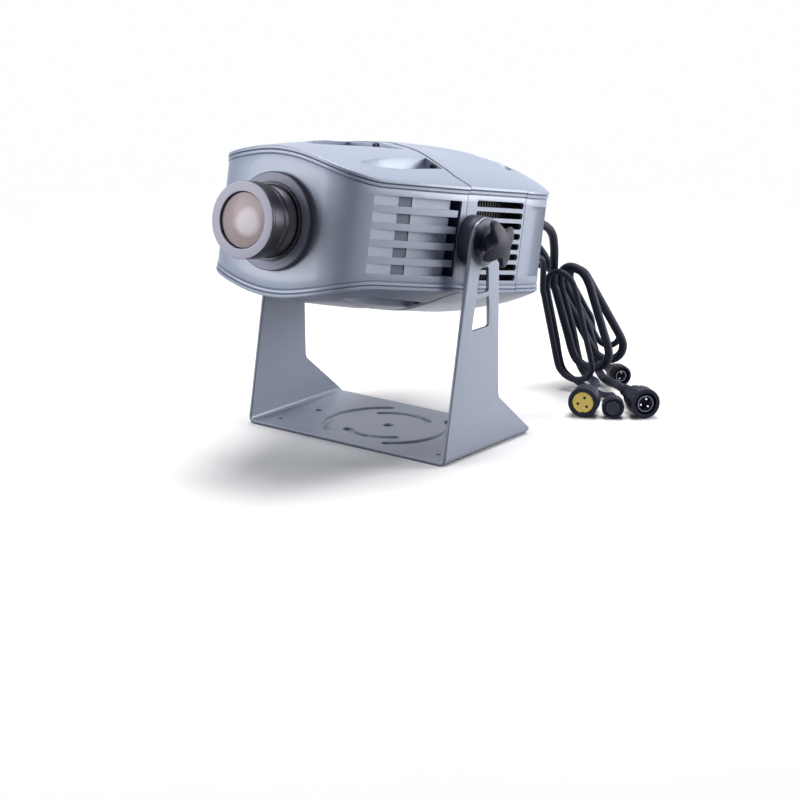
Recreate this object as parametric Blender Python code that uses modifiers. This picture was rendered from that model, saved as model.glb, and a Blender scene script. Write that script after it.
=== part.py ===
"""Outdoor snowflake projector on a U-shaped floor bracket.

Metres, +Z up. The floor is z = 0, the tilt axis runs along X above y = 0, and the lens looks
towards -Y. Everything on the tilting head is placed in the head's own frame, whose origin is
the tilt axis, and is parented to the empty head_pivot.
"""
import math

import bmesh
import bpy
import numpy as np
from mathutils import Matrix, Vector

MM = 0.001

# Driving dimensions, in millimetres
GAP = 0.3                 # clearance between pieces that touch
PIVOT_HEIGHT = 199.0      # tilt axis above the floor
REST_TILT = 10.0          # degrees that the lens looks up at rest
FRONT_LENGTH = 160.0      # tilt axis to the front face
REAR_LENGTH = 147.0       # tilt axis to the rear face
HALF_WIDTH = 99.0         # side wall of the housing
RIM_HALF = 48.0           # half height of the rims at the sides and rear
ARCH_HALF = 66.0          # half height of the arched rim on the front face
CROWN_HALF = 77.0         # half height at the top of the dome
MIDDLE_PROUD = 1.012       # how far the middle section stands proud, as a scale
WALL = 3.0                # housing wall
POCKET_WALL = 2.2         # wall round a recess
FRONT_SEAM = -11.0        # seams where they cross the side walls
REAR_SEAM = 86.0
FRONT_SEAM_BOW = 18.0     # how far each seam runs forward at the centre line
REAR_SEAM_BOW = 9.0

SHEET = 3.0               # bracket sheet
BRACKET_HALF = 115.0      # outer faces of the arms
FOOT_FRONT = -57.0
FOOT_REAR = 85.0
KINK_Y = 28.5
KINK_Z = 49.0
ARM_TOP_RADIUS = 22.5
STUD_HOLE_RADIUS = 4.6

LENS_FRONT = -206.0       # front of the lens ring
LENS_RING_RADIUS = 33.5
BARREL_RADIUS = 31.6
FLANGE_RADIUS = 43.2
FLANGE_FACE = -166.5      # front face of the lens flange

GLAND_X = 51.5
GLAND_Z = 17.0
SMALL_GLAND_Z = -19.0
POWER_CORD = 8.6          # cord diameters
SIGNAL_CORD = 6.2

PAINT = (0.36, 0.41, 0.46, 1.0)
PARTS = None
CUTTERS = None


# Scene, collections and materials

def clear_scene():
    """Empty the scene without closing the file that this runs from."""
    for item in list(bpy.data.objects):
        bpy.data.objects.remove(item, do_unlink=True)


def new_collection(name):
    """Return a new collection linked to the scene."""
    made = bpy.data.collections.new(name)
    bpy.context.scene.collection.children.link(made)
    return made


def material(name, colour, roughness, metallic=0.0, transmission=0.0):
    """Return the Principled material of that name, made on first use."""
    found = bpy.data.materials.get(name)
    if found:
        return found
    made = bpy.data.materials.new(name)
    made.use_nodes = True
    made.diffuse_color = colour
    shader = made.node_tree.nodes["Principled BSDF"]
    shader.inputs["Base Color"].default_value = colour
    shader.inputs["Roughness"].default_value = roughness
    shader.inputs["Metallic"].default_value = metallic
    shader.inputs["Transmission Weight"].default_value = transmission
    return made


def painted():
    return material("blue_grey_paint", PAINT, 0.42, 0.2)


def anodised():
    return material("black_anodised", (0.03, 0.033, 0.04, 1.0), 0.35, 0.6)


def black_plastic():
    return material("black_plastic", (0.03, 0.032, 0.036, 1.0), 0.45)


def black_rubber():
    return material("black_rubber", (0.028, 0.03, 0.036, 1.0), 0.6)


def nickel():
    return material("nickel_plate", (0.75, 0.75, 0.76, 1.0), 0.16, 1.0)


def steel():
    return material("steel", (0.55, 0.55, 0.56, 1.0), 0.3, 1.0)


def bare_aluminium():
    return material("bare_aluminium", (0.5, 0.51, 0.53, 1.0), 0.38, 1.0)


def lens_glass():
    return material("coated_glass", (0.9, 0.82, 0.84, 1.0), 0.05, 0.0, 0.7)


def board_green():
    return material("board_green", (0.05, 0.2, 0.1, 1.0), 0.5)


# Making objects

def add_object(name, mesh, look=None, parent=None, cutter=False):
    """Link a mesh as an object, as a part with its material or as a hidden cutter."""
    made = bpy.data.objects.new(name, mesh)
    if cutter:
        CUTTERS.objects.link(made)
        made.hide_render = True
        made.display_type = "WIRE"
    else:
        PARTS.objects.link(made)
        mesh.materials.clear()
        mesh.materials.append(look)
    made.parent = parent
    return made


def bmesh_object(name, work, look=None, parent=None, cutter=False):
    """Turn a bmesh into an object."""
    bmesh.ops.recalc_face_normals(work, faces=work.faces)
    mesh = bpy.data.meshes.new(name)
    work.to_mesh(mesh)
    work.free()
    return add_object(name, mesh, look, parent, cutter)


def smooth(item, angle=35.0):
    """Shade a piece smooth and keep its edges sharp."""
    item.data.shade_smooth()
    item.data.set_sharp_from_angle(angle=math.radians(angle))
    return item


def box(name, centre, size, look=None, parent=None, cutter=False, bevel=0.0):
    """Rectangular block, with its edges rounded where bevel is given."""
    work = bmesh.new()
    bmesh.ops.create_cube(work, size=1.0)
    bmesh.ops.scale(work, vec=Vector(size) * MM, verts=work.verts)
    made = bmesh_object(name, work, look, parent, cutter)
    made.location = Vector(centre) * MM
    if bevel:
        add_bevel(made, bevel)
    return made


def tidy_faces(item, angle=0.6):
    """Join the level facets that booleans leave behind."""
    step = item.modifiers.new("level_facets", "DECIMATE")
    step.decimate_type = "DISSOLVE"
    step.angle_limit = math.radians(angle)
    return item


def add_bevel(item, width, segments=2, angle=40.0):
    """Round the sharp edges of a piece."""
    rounding = item.modifiers.new("rounding", "BEVEL")
    rounding.width = width * MM
    rounding.segments = segments
    rounding.limit_method = "ANGLE"
    rounding.angle_limit = math.radians(angle)
    return rounding


AXIS_TURN = {
    "X": Matrix.Rotation(math.radians(90.0), 3, "Y"),
    "Y": Matrix.Rotation(math.radians(90.0), 3, "X"),
    "Z": Matrix.Identity(3),
}


def cylinder(name, centre, radius, length, axis, look=None, parent=None, cutter=False, sides=48):
    """Solid cylinder about the X, Y or Z axis; six sides make a hexagon."""
    work = bmesh.new()
    bmesh.ops.create_cone(work, cap_ends=True, segments=sides, radius1=radius * MM,
                          radius2=radius * MM, depth=length * MM)
    bmesh.ops.rotate(work, cent=(0.0, 0.0, 0.0), matrix=AXIS_TURN[axis], verts=work.verts)
    made = bmesh_object(name, work, look, parent, cutter)
    made.location = Vector(centre) * MM
    return made


def turned(name, profile, look=None, parent=None, cutter=False, steps=48, axis="Y", location=(0, 0, 0)):
    """Turn a closed profile of (radius, along) points about an axis.

    A profile that touches the axis makes a solid, any other a ring. Along counts towards +X,
    +Y or +Z. The profile is made to run down its outer side, which turns the faces outward.
    """
    work = bmesh.new()
    following = profile[1:] + profile[:1]
    area = sum(r1 * a2 - r2 * a1 for (r1, a1), (r2, a2) in zip(profile, following))
    ordered = profile if area < 0.0 else profile[::-1]
    corners = [work.verts.new((radius * MM, 0.0, along * MM)) for radius, along in ordered]
    for first, second in zip(corners, corners[1:] + corners[:1]):
        if first.co.x > 1e-9 or second.co.x > 1e-9:
            work.edges.new((first, second))
    turn = {"Z": Matrix.Identity(3), "Y": Matrix.Rotation(math.radians(-90.0), 3, "X"),
            "X": Matrix.Rotation(math.radians(90.0), 3, "Y")}[axis]
    mesh = bpy.data.meshes.new(name)
    work.to_mesh(mesh)
    work.free()
    made = add_object(name, mesh, look, parent, cutter)
    screw = made.modifiers.new("turning", "SCREW")
    screw.axis = "Z"
    screw.steps = steps
    screw.render_steps = steps
    screw.use_merge_vertices = True
    screw.merge_threshold = 0.00001
    screw.use_smooth_shade = False
    made.matrix_basis = Matrix.Translation(Vector(location) * MM) @ turn.to_4x4()
    return made


def outline_mesh(name, points, half_thickness, holes=()):
    """Flat 2D curve outline with holes, filled and extruded both ways, as a mesh in XY."""
    data = bpy.data.curves.new(name, "CURVE")
    data.dimensions = "2D"
    data.fill_mode = "BOTH"
    data.extrude = half_thickness * MM
    for ring in (points, *holes):
        spline = data.splines.new("POLY")
        spline.points.add(len(ring) - 1)
        for slot, (x, y) in zip(spline.points, ring):
            slot.co = (x * MM, y * MM, 0.0, 1.0)
        spline.use_cyclic_u = True
    guide = bpy.data.objects.new(name + "_outline", data)
    bpy.context.scene.collection.objects.link(guide)
    depsgraph = bpy.context.evaluated_depsgraph_get()
    mesh = bpy.data.meshes.new_from_object(guide.evaluated_get(depsgraph))
    bpy.data.objects.remove(guide, do_unlink=True)
    bpy.data.curves.remove(data)
    work = bmesh.new()
    work.from_mesh(mesh)
    bmesh.ops.remove_doubles(work, verts=work.verts, dist=0.000001)
    bmesh.ops.dissolve_limit(work, angle_limit=math.radians(0.1), verts=work.verts, edges=work.edges)
    bmesh.ops.recalc_face_normals(work, faces=work.faces)
    work.to_mesh(mesh)
    work.free()
    return mesh


PLANE_TURN = {
    "XY": Matrix.Identity(4),
    "XZ": Matrix(((1, 0, 0, 0), (0, 0, -1, 0), (0, 1, 0, 0), (0, 0, 0, 1))),
    "YZ": Matrix(((0, 0, 1, 0), (1, 0, 0, 0), (0, 1, 0, 0), (0, 0, 0, 1))),
}


def plate(name, points, thickness, plane, centre, look=None, parent=None, cutter=False, holes=()):
    """Flat plate whose outline lies in the named plane, centred on its thickness."""
    mesh = outline_mesh(name, points, thickness / 2.0, holes)
    mesh.transform(PLANE_TURN[plane])
    made = add_object(name, mesh, look, parent, cutter)
    made.location = Vector(centre) * MM
    return made


def boolean(item, other, operation):
    """Cut, join or intersect a piece with a cutter."""
    step = item.modifiers.new(operation.lower() + "_" + other.name, "BOOLEAN")
    step.object = other
    step.operation = operation
    step.solver = "EXACT"
    return step


def cut(item, *others):
    for other in others:
        boolean(item, other, "DIFFERENCE")
    return item


# Outlines

def arc(centre, radius, start, end, count):
    """Points along a circular arc, angles in degrees."""
    angles = np.radians(np.linspace(start, end, count))
    return [(centre[0] + radius * math.cos(a), centre[1] + radius * math.sin(a)) for a in angles]


def rounded_polygon(corners, radius, count=4):
    """Polygon whose corners are arcs of the given radius (one value or one for each corner)."""
    radii = radius if isinstance(radius, (list, tuple)) else [radius] * len(corners)
    points = []
    for index, corner in enumerate(corners):
        here = Vector(corner)
        back = (Vector(corners[index - 1]) - here).normalized()
        ahead = (Vector(corners[(index + 1) % len(corners)]) - here).normalized()
        size = radii[index]
        if size <= 0.0:
            points.append(tuple(here))
            continue
        half = back.angle(ahead) / 2.0
        middle = here + (back + ahead).normalized() * (size / math.sin(half))
        reach = size / math.tan(half)
        first = here + back * reach - middle
        last = here + ahead * reach - middle
        for step in range(count + 1):
            turned_by = first.lerp(last, step / count).normalized() * size
            points.append(tuple(middle + turned_by))
    return points


def arc_slot(centre, radius, width, start, end, count=8):
    """Outline of a slot along an arc, with round ends."""
    half = width / 2.0
    outer = arc(centre, radius + half, start, end, count)
    inner = arc(centre, radius - half, end, start, count)
    end_centre = arc(centre, radius, end, end, 1)[0]
    start_centre = arc(centre, radius, start, start, 1)[0]
    cap_end = arc(end_centre, half, end, end + 180.0, 5)[1:-1]
    cap_start = arc(start_centre, half, start + 180.0, start + 360.0, 5)[1:-1]
    return outer + cap_end + inner + cap_start


# Housing form

# Half of the plan outline, from the middle of the front face round to the middle of the rear
PLAN_HALF = ((0.0, -160.0), (30.0, -159.2), (54.0, -156.0), (68.0, -149.0), (76.5, -134.0), (84.0, -105.0),
             (92.0, -65.0), (98.0, -25.0), (99.0, 5.0), (99.0, 50.0), (98.8, 86.0), (97.5, 112.0),
             (93.5, 131.0), (85.5, 142.5), (73.0, 146.6), (40.0, 147.0), (0.0, 147.0))
RIM_STEPS = 25            # outline points on each half
INNER_STEPS = 14
# Rim bead as (outward offset, height from the rim down), from the dome edge to the plain wall
RIM_PROFILE = ((0.0, 0.0), (1.2, -1.2), (-0.6, -2.8), (0.9, -4.4), (-0.8, -6.1), (0.0, -7.2))
DOME_ROWS = (0.975, 0.9, 0.74, 0.42)
DOME_POWER = (2.0, 4.6, 2.0)   # fullness of the dome to the front, to the rear and across
DOME_FALL = (1.1, 0.55, 0.9)
ARCH_LENGTH = 108.0       # length of rim over which the arch eases down


def spline_point(points, place):
    """Point of a Catmull-Rom curve through the given points, place counted in points."""
    last = len(points) - 1
    index = min(int(place), last - 1)
    t = place - index
    p1 = np.array(points[index])
    p2 = np.array(points[index + 1])
    p0 = np.array(points[index - 1]) if index > 0 else p1 + (p1 - p2)
    p3 = np.array(points[index + 2]) if index + 2 <= last else p2 + (p2 - p1)
    return 0.5 * (2 * p1 + (p2 - p0) * t + (2 * p0 - 5 * p1 + 4 * p2 - p3) * t ** 2
                  + (3 * p1 - p0 - 3 * p2 + p3) * t ** 3)


def plan_half(inset=0.0, count=RIM_STEPS):
    """Half outline of the housing in plan as (x, y, distance from the front middle) rows."""
    fine = np.array([spline_point(PLAN_HALF, p) for p in np.linspace(0.0, len(PLAN_HALF) - 1.0, 400)])
    fine[0, 0] = 0.0
    fine[-1, 0] = 0.0
    step = np.gradient(fine, axis=0)
    normal = np.stack([step[:, 1], -step[:, 0]], axis=1)
    normal /= np.linalg.norm(normal, axis=1, keepdims=True)
    turn = np.abs(np.gradient(np.unwrap(np.arctan2(step[:, 1], step[:, 0]))))
    length = np.r_[0.0, np.cumsum(np.linalg.norm(np.diff(fine, axis=0), axis=1))]
    # points gather where the outline bends
    weight = np.r_[0.0, np.cumsum(np.diff(length) / length[-1] + 0.45 * (turn[1:] + turn[:-1]) / 2.0)]
    wanted = np.linspace(0.0, weight[-1], count)
    rows = []
    for column in (fine[:, 0] - inset * normal[:, 0], fine[:, 1] - inset * normal[:, 1], length):
        rows.append(np.interp(wanted, weight, column))
    rows = np.array(rows).T
    rows[0, 0] = 0.0
    rows[-1, 0] = 0.0
    return rows


def rim_height(distance):
    """Half height of the rim: an arch over the front face that eases down along the sides."""
    share = np.clip(distance / ARCH_LENGTH, 0.0, 1.0)
    return RIM_HALF + (ARCH_HALF - RIM_HALF) * 0.5 * (1.0 + np.cos(np.pi * share))


def pillow_rows(inset=0.0, beads=True, steps=RIM_STEPS):
    """Upper half of the housing form as rings of (x, y, z), from the wall's middle to the crown."""
    half = plan_half(0.0, steps)
    ring = np.vstack([half, half[-2:0:-1] * [-1.0, 1.0, 1.0]])
    following = np.roll(ring[:, :2], -1, axis=0)
    before = np.roll(ring[:, :2], 1, axis=0)
    along = following - before
    outward = np.stack([along[:, 1], -along[:, 0]], axis=1)
    outward /= np.linalg.norm(outward, axis=1, keepdims=True)
    rim = rim_height(ring[:, 2])
    rows = []
    profile = reversed(RIM_PROFILE) if beads else ((0.0, -6.0), (0.0, 0.0))
    for offset, drop in profile:
        place = ring[:, :2] + outward * (offset - inset)
        rows.append(np.column_stack([place, rim + drop - inset]))
    sideways = np.clip((ring[:, 0] / HALF_WIDTH) ** 2, 0.0, 1.0)
    at_front = ring[:, 1] < 0.0
    power = np.where(at_front, DOME_POWER[0], DOME_POWER[1])
    power += (DOME_POWER[2] - power) * sideways
    fall = np.where(at_front, DOME_FALL[0], DOME_FALL[1])
    fall += (DOME_FALL[2] - fall) * sideways
    for share in DOME_ROWS[:: 1 if beads else 2]:
        place = (ring[:, :2] - outward * inset) * share
        rise = (1.0 - share ** power) ** fall
        rows.append(np.column_stack([place, rim + (CROWN_HALF - rim) * rise - inset]))
    return rows


def pillow(name, pivot, inset=0.0, beads=True, steps=RIM_STEPS, scale=(1.0, 1.0, 1.0)):
    """Closed pillow-shaped solid of the housing, inset from its outer surface."""
    upper = pillow_rows(inset, beads, steps)
    lower = [row * [1.0, 1.0, -1.0] for row in reversed(upper)]
    rings = lower + upper
    work = bmesh.new()
    made = [[work.verts.new(Vector(point * scale) * MM) for point in ring] for ring in rings]
    count = len(made[0])
    for low, high in zip(made, made[1:]):
        for index in range(count):
            following = (index + 1) % count
            work.faces.new((low[index], low[following], high[following], high[index]))
    for ring, height in ((made[0], -1.0), (made[-1], 1.0)):
        top = work.verts.new(Vector((0.0, -4.0, height * (CROWN_HALF - inset) * scale[2])) * MM)
        for index in range(count):
            work.faces.new((ring[index], ring[(index + 1) % count], top))
    return bmesh_object(name, work, parent=pivot, cutter=True)


def seam_curve(side, bow, shift=0.0, count=15):
    """Seam line in plan, which runs forward in a bow between the side walls."""
    reach = HALF_WIDTH + 8.0
    across = np.linspace(-reach, reach, count)
    share = np.clip(np.abs(across) / HALF_WIDTH, 0.0, 1.0)
    return [(x, side + shift - bow * (1.0 - s ** 2)) for x, s in zip(across, share)]


def zone(name, pivot, ahead, behind):
    """Tall block between two seam lines, or from one of them to a straight end."""
    points = list(ahead) + list(reversed(behind))
    return plate(name, points, 2.0 * CROWN_HALF + 40.0, "XY", (0, 0, 0), parent=pivot, cutter=True)


def straight(y):
    reach = HALF_WIDTH + 8.0
    return [(-reach, y), (reach, y)]


def housing_shell(name, zone_block, recesses, pivot, steps=RIM_STEPS, proud=1.0):
    """One section of the housing: a hollow slice of the pillow form with walled recesses."""
    outer = pillow(name + "_outer", pivot, steps=steps, scale=(1.0, 1.0, proud))
    inner = pillow(name + "_inner", pivot, inset=WALL, beads=False, steps=INNER_STEPS, scale=(1.0, 1.0, proud))
    for liner, _ in recesses:
        if liner:
            cut(inner, liner)
    body = add_object(name, outer.data.copy(), painted(), pivot)
    cut(body, inner)
    boolean(body, zone_block, "INTERSECT")
    for _, hollow in recesses:
        cut(body, hollow)
    return body


# Housing sections

SCOOP_STATIONS = (0.0, 0.08, 0.3, 0.62, 1.0)
SCOOP_SKY = 16.0          # how far a scoop cutter reaches past the dome
SCOOP_LIP = 0.8           # how far the floor stands clear of the dome at the tip
# x, station of the steep wall, dome height there and at the tip, length, width, depth, share of the
# width at the tip, share of the length over which it widens
FRONT_SCOOPS = (
    (60.0, -40.0, 65.6, 58.6, 85.0, 17.0, 9.0, 0.1, 0.5),
    (-60.0, -40.0, 65.6, 58.6, 85.0, 17.0, 9.0, 0.1, 0.5),
    (0.0, -36.0, 76.0, 69.8, 88.0, 66.0, 8.0, 0.2, 1.0),
)
REAR_SCOOPS = (
    (0.0, 97.0, 74.4, 73.0, 36.0, 62.0, 11.0, 0.7, 1.0),
    (60.0, 94.0, 67.4, 65.0, 30.0, 18.0, 9.0, 0.6, 0.4),
    (-60.0, 94.0, 67.4, 65.0, 30.0, 18.0, 9.0, 0.6, 0.4),
)


def scoop_form(name, pivot, spec, ahead, lift, grow=0.0):
    """Scoop cutter lofted from a narrow shallow tip to a steep wall.

    Ahead is +1 where the tip points to the front and lift is +1 on top, -1 underneath. A liner is
    the same form grown by that much, which becomes the wall round the recess.
    """
    x, wall, height, tip_height, length, width, depth, tip, widening = spec
    work = bmesh.new()
    sections = []
    for share in SCOOP_STATIONS:
        full = math.sin(math.pi / 2.0 * min(1.0, share / widening))
        half = width / 2.0 * (tip + (1.0 - tip) * full) + grow
        floor = tip_height + (height - tip_height) * share + SCOOP_LIP - (depth + SCOOP_LIP) * share ** 0.55 - grow
        y = wall + ahead * (grow * share - (length + grow) * (1.0 - share))
        corners = ((-half, height + SCOOP_SKY), (-half, floor), (half, floor), (half, height + SCOOP_SKY))
        sections.append([work.verts.new(Vector((x + across, y, lift * z)) * MM) for across, z in corners])
    for one, two in zip(sections, sections[1:]):
        for index in range(4):
            following = (index + 1) % 4
            work.faces.new((one[index], one[following], two[following], two[index]))
    work.faces.new(sections[0])
    work.faces.new(sections[-1])
    return bmesh_object(name, work, parent=pivot, cutter=True)


def scoops(prefix, pivot, specs, ahead):
    """Pairs of liner and cutter for the scoops, above and below."""
    pairs = []
    for index, spec in enumerate(specs):
        for side, lift in (("top", 1.0), ("bottom", -1.0)):
            name = f"{prefix}_scoop_{side}_{index + 1}"
            liner = scoop_form(name + "_liner", pivot, spec, ahead, lift, POCKET_WALL)
            pairs.append((liner, scoop_form(name, pivot, spec, ahead, lift)))
    return pairs


LOUVRE_FLARE = -136.0     # station where the side wall starts to flare
LOUVRE_FRONT = -127.0
LOUVRE_SHELF = -28.0      # where the channel floors end in an open slot
LOUVRE_RIB_END = -23.5
LOUVRE_REAR = -20.3
LOUVRE_HALF = 34.2
LOUVRE_RIBS = 4
LOUVRE_RIB = 6.2
LOUVRE_BACK = 12.0        # depth of the wall behind the channels
# channel floor as (station, depth): a ramp, a deep pocket and a second ramp
LOUVRE_FLOOR = ((LOUVRE_FRONT, 0.8), (-96.0, 3.6), (-95.6, 9.5), (-79.4, 9.5), (-79.0, 4.4), (LOUVRE_SHELF, 6.6))


def louvre_line(y, inward):
    """Half width at a station of the louvre, which follows the flare of the side wall."""
    share = (y - LOUVRE_FLARE) / (-20.0 - LOUVRE_FLARE)
    return 75.6 + (98.0 - 75.6) * share ** 0.8 - inward


def louvre(pivot, side):
    """Liner and channels of one side's louvre, and the open slot behind its free rib ends."""
    label = "right" if side > 0 else "left"
    front = LOUVRE_FRONT - POCKET_WALL
    rear = LOUVRE_REAR + POCKET_WALL
    back = [(side * louvre_line(y, LOUVRE_BACK), y) for y in (front, -97.0, LOUVRE_SHELF, rear)]
    wide = [(side * 116.0, rear), (side * 116.0, front)]
    liner = plate(f"louvre_liner_{label}", back + wide, 2.0 * (LOUVRE_HALF + POCKET_WALL), "XY",
                  (0.0, 0.0, 0.0), parent=pivot, cutter=True)
    slot = box(f"louvre_slot_{label}", (side * 96.0, (LOUVRE_RIB_END + LOUVRE_REAR) / 2.0, 0.0),
               (40.0, LOUVRE_REAR - LOUVRE_RIB_END, 2.0 * LOUVRE_HALF), parent=pivot, cutter=True)
    pairs = [(liner, slot)]
    # each channel runs along its floor, then straight in and out again round the open slot
    floor = [(side * louvre_line(y, d), y) for y, d in LOUVRE_FLOOR]
    floor += [(side * 76.0, LOUVRE_SHELF), (side * 76.0, LOUVRE_RIB_END + 0.1)]
    outer = [(side * 116.0, LOUVRE_RIB_END + 0.1), (side * 116.0, LOUVRE_FRONT)]
    channel = (2.0 * LOUVRE_HALF - LOUVRE_RIBS * LOUVRE_RIB) / (LOUVRE_RIBS + 1)
    for index in range(LOUVRE_RIBS + 1):
        height = -LOUVRE_HALF + channel / 2.0 + index * (channel + LOUVRE_RIB)
        trough = plate(f"louvre_channel_{label}_{index + 1}", floor + outer, channel, "XY",
                       (0.0, 0.0, height), parent=pivot, cutter=True)
        pairs.append((None, trough))
    return pairs


def front_housing(pivot, block):
    """Front shell: arched face with the lens hole, side louvres, scoops above and below."""
    recesses = scoops("front", pivot, FRONT_SCOOPS, 1.0)
    recesses += louvre(pivot, 1.0) + louvre(pivot, -1.0)
    body = housing_shell("front_housing", block, recesses, pivot)
    hole = cylinder("lens_hole", (0.0, -FRONT_LENGTH, 0.0), 35.0, 30.0, "Y", parent=pivot, cutter=True)
    cut(body, hole)
    return smooth(tidy_faces(body))


VENT_PITCH = 10.1
VENT_HEIGHT = 5.2
VENT_FRONT = 3.5
VENT_REAR = 81.0
BOSS_RADIUS = 23.0


def vent(name, pivot, height, start):
    """Round-ended slot right through both side walls."""
    half = VENT_HEIGHT / 2.0
    ends = arc((start + half, height), half, 90.0, 270.0, 4) + arc((VENT_REAR - half, height), half, -90.0, 90.0, 4)
    return plate(name, ends, 2.0 * HALF_WIDTH + 20.0, "YZ", (0.0, 0.0, 0.0), parent=pivot, cutter=True)


def middle_housing(pivot, block):
    """Middle section, open at both ends, with eight vent slots in each side wall."""
    body = housing_shell("middle_housing", block, (), pivot, proud=MIDDLE_PROUD)
    for index in range(8):
        height = (3.5 - index) * VENT_PITCH
        start = VENT_FRONT if abs(height) > BOSS_RADIUS else 24.5
        cut(body, vent(f"vent_{index + 1}", pivot, height, start))
    for side, label in ((1.0, "right"), (-1.0, "left")):
        cut(body, cylinder(f"stud_hole_{label}", (side * HALF_WIDTH, 0.0, 0.0), STUD_HOLE_RADIUS, 20.0, "X",
                           parent=pivot, cutter=True, sides=20))
    return smooth(tidy_faces(body))


GLANDS = (
    # name, x, height, thread radius, hexagon across corners, cord
    ("power_out", GLAND_X, GLAND_Z, 8.8, 12.7, POWER_CORD),
    ("power_in", -GLAND_X, GLAND_Z, 8.8, 12.7, POWER_CORD),
    ("signal_out", GLAND_X, SMALL_GLAND_Z, 6.6, 9.8, SIGNAL_CORD),
    ("signal_in", -GLAND_X, SMALL_GLAND_Z, 6.6, 9.8, SIGNAL_CORD),
)
SHANK = 1.2               # how much thinner a gland is where it passes the panel


def corner_pocket(name, pivot, side, liner=0.0):
    """Tall pocket on a rear corner: an upright step ahead of a floor that rises to the rear."""
    reach = liner
    points = [(side * 108.0, 99.0 - reach), (side * (88.0 - reach), 99.0 - reach),
              (side * (80.0 - reach), 137.0 + reach), (side * (92.0 + reach), 152.0 + reach), (side * 108.0, 150.0)]
    return plate(name, points, 2.0 * (33.0 + liner), "XY", (0.0, 0.0, 0.0), parent=pivot, cutter=True)


def rear_cover(pivot, block):
    """Rear cover: display opening, gland holes, corner pockets, scoops above and below."""
    recesses = scoops("rear", pivot, REAR_SCOOPS, -1.0)
    for side, label in ((1.0, "right"), (-1.0, "left")):
        recesses.append((corner_pocket(f"pocket_liner_{label}", pivot, side, POCKET_WALL),
                         corner_pocket(f"pocket_{label}", pivot, side)))
    body = housing_shell("rear_cover", block, recesses, pivot)
    cut(body, box("display_opening", (0.0, REAR_LENGTH, 1.0), (50.0, 30.0, 42.0), parent=pivot, cutter=True))
    for name, x, height, thread, _, _ in GLANDS:
        cut(body, cylinder(name + "_hole", (x, REAR_LENGTH, height), thread - SHANK + GAP, 30.0, "Y",
                           parent=pivot, cutter=True, sides=24))
    return smooth(tidy_faces(body))


def seam_gasket(name, pivot, side, bow, look):
    """Rubber strip that lines both sections across a seam."""
    outer = pillow(name + "_outer", pivot, inset=WALL + GAP, beads=False, steps=INNER_STEPS)
    inner = pillow(name + "_inner", pivot, inset=WALL + GAP + 2.0, beads=False, steps=INNER_STEPS)
    band = zone(name + "_band", pivot, seam_curve(side, bow, -2.0), seam_curve(side, bow, 2.0))
    strip = add_object(name, outer.data.copy(), look, pivot)
    cut(strip, inner)
    boolean(strip, band, "INTERSECT")
    return tidy_faces(strip)


def pivot_boss(name, pivot, side):
    """Round spacer between the housing and the bracket arm, bored for the stud."""
    near = HALF_WIDTH + GAP
    far = BRACKET_HALF - SHEET - GAP
    profile = [(STUD_HOLE_RADIUS, far), (BOSS_RADIUS - 1.0, far), (BOSS_RADIUS, far - 1.0), (BOSS_RADIUS, near),
               (STUD_HOLE_RADIUS, near)]
    boss = turned(name, profile, black_plastic(), pivot, axis="X", steps=28)
    if side < 0:
        boss.matrix_basis = Matrix.Rotation(math.pi, 4, "Z") @ boss.matrix_basis
    return smooth(boss)


# Bracket

def bracket_profile():
    """Outline of the bent sheet seen from the front: two arms, two bends and the base."""
    top = PIVOT_HEIGHT + 30.0
    bend = 7.0
    outer = [(-BRACKET_HALF, top)] + arc((-BRACKET_HALF + bend, bend), bend, 180.0, 270.0, 4)
    outer += arc((BRACKET_HALF - bend, bend), bend, 270.0, 360.0, 4) + [(BRACKET_HALF, top)]
    inner = [(BRACKET_HALF - SHEET, top)] + arc((BRACKET_HALF - bend, bend), bend - SHEET, 360.0, 270.0, 4)
    inner += arc((-BRACKET_HALF + bend, bend), bend - SHEET, 270.0, 180.0, 4) + [(-BRACKET_HALF + SHEET, top)]
    return outer + inner


def arm_outline():
    """Outline of an arm seen from the side: round top, slanted front edge, kink to the rear foot."""
    top = arc((0.0, PIVOT_HEIGHT), ARM_TOP_RADIUS, 4.0, 168.0, 11)
    rear = rounded_polygon([(KINK_Y - 1.0, KINK_Z + 20.0), (KINK_Y, KINK_Z), (FOOT_REAR, 5.0), (FOOT_REAR, -5.0)],
                           [0.0, 9.0, 5.0, 0.0])
    return [(FOOT_FRONT, -5.0)] + list(reversed(rear)) + top


ARM_WINDOWS = (
    ((-7.0, 176.0), (6.5, 176.0), (8.0, 152.5), (-12.0, 152.5)),
    ((-12.5, 148.0), (8.5, 148.0), (10.0, 119.5), (-18.5, 119.5)),
)
BASE_CENTRE = (0.0, 14.0)
BASE_SLOTS = ((60.0, 125.0, 229.0), (60.0, -55.0, 49.0), (41.0, 236.0, 316.0), (41.0, 56.0, 136.0))
BASE_HOLES = ((BASE_CENTRE, 5.7), ((-83.0, 12.0), 3.3), ((83.0, 12.0), 3.3), ((-93.0, -34.0), 2.5), ((93.0, -34.0), 2.5))


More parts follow.
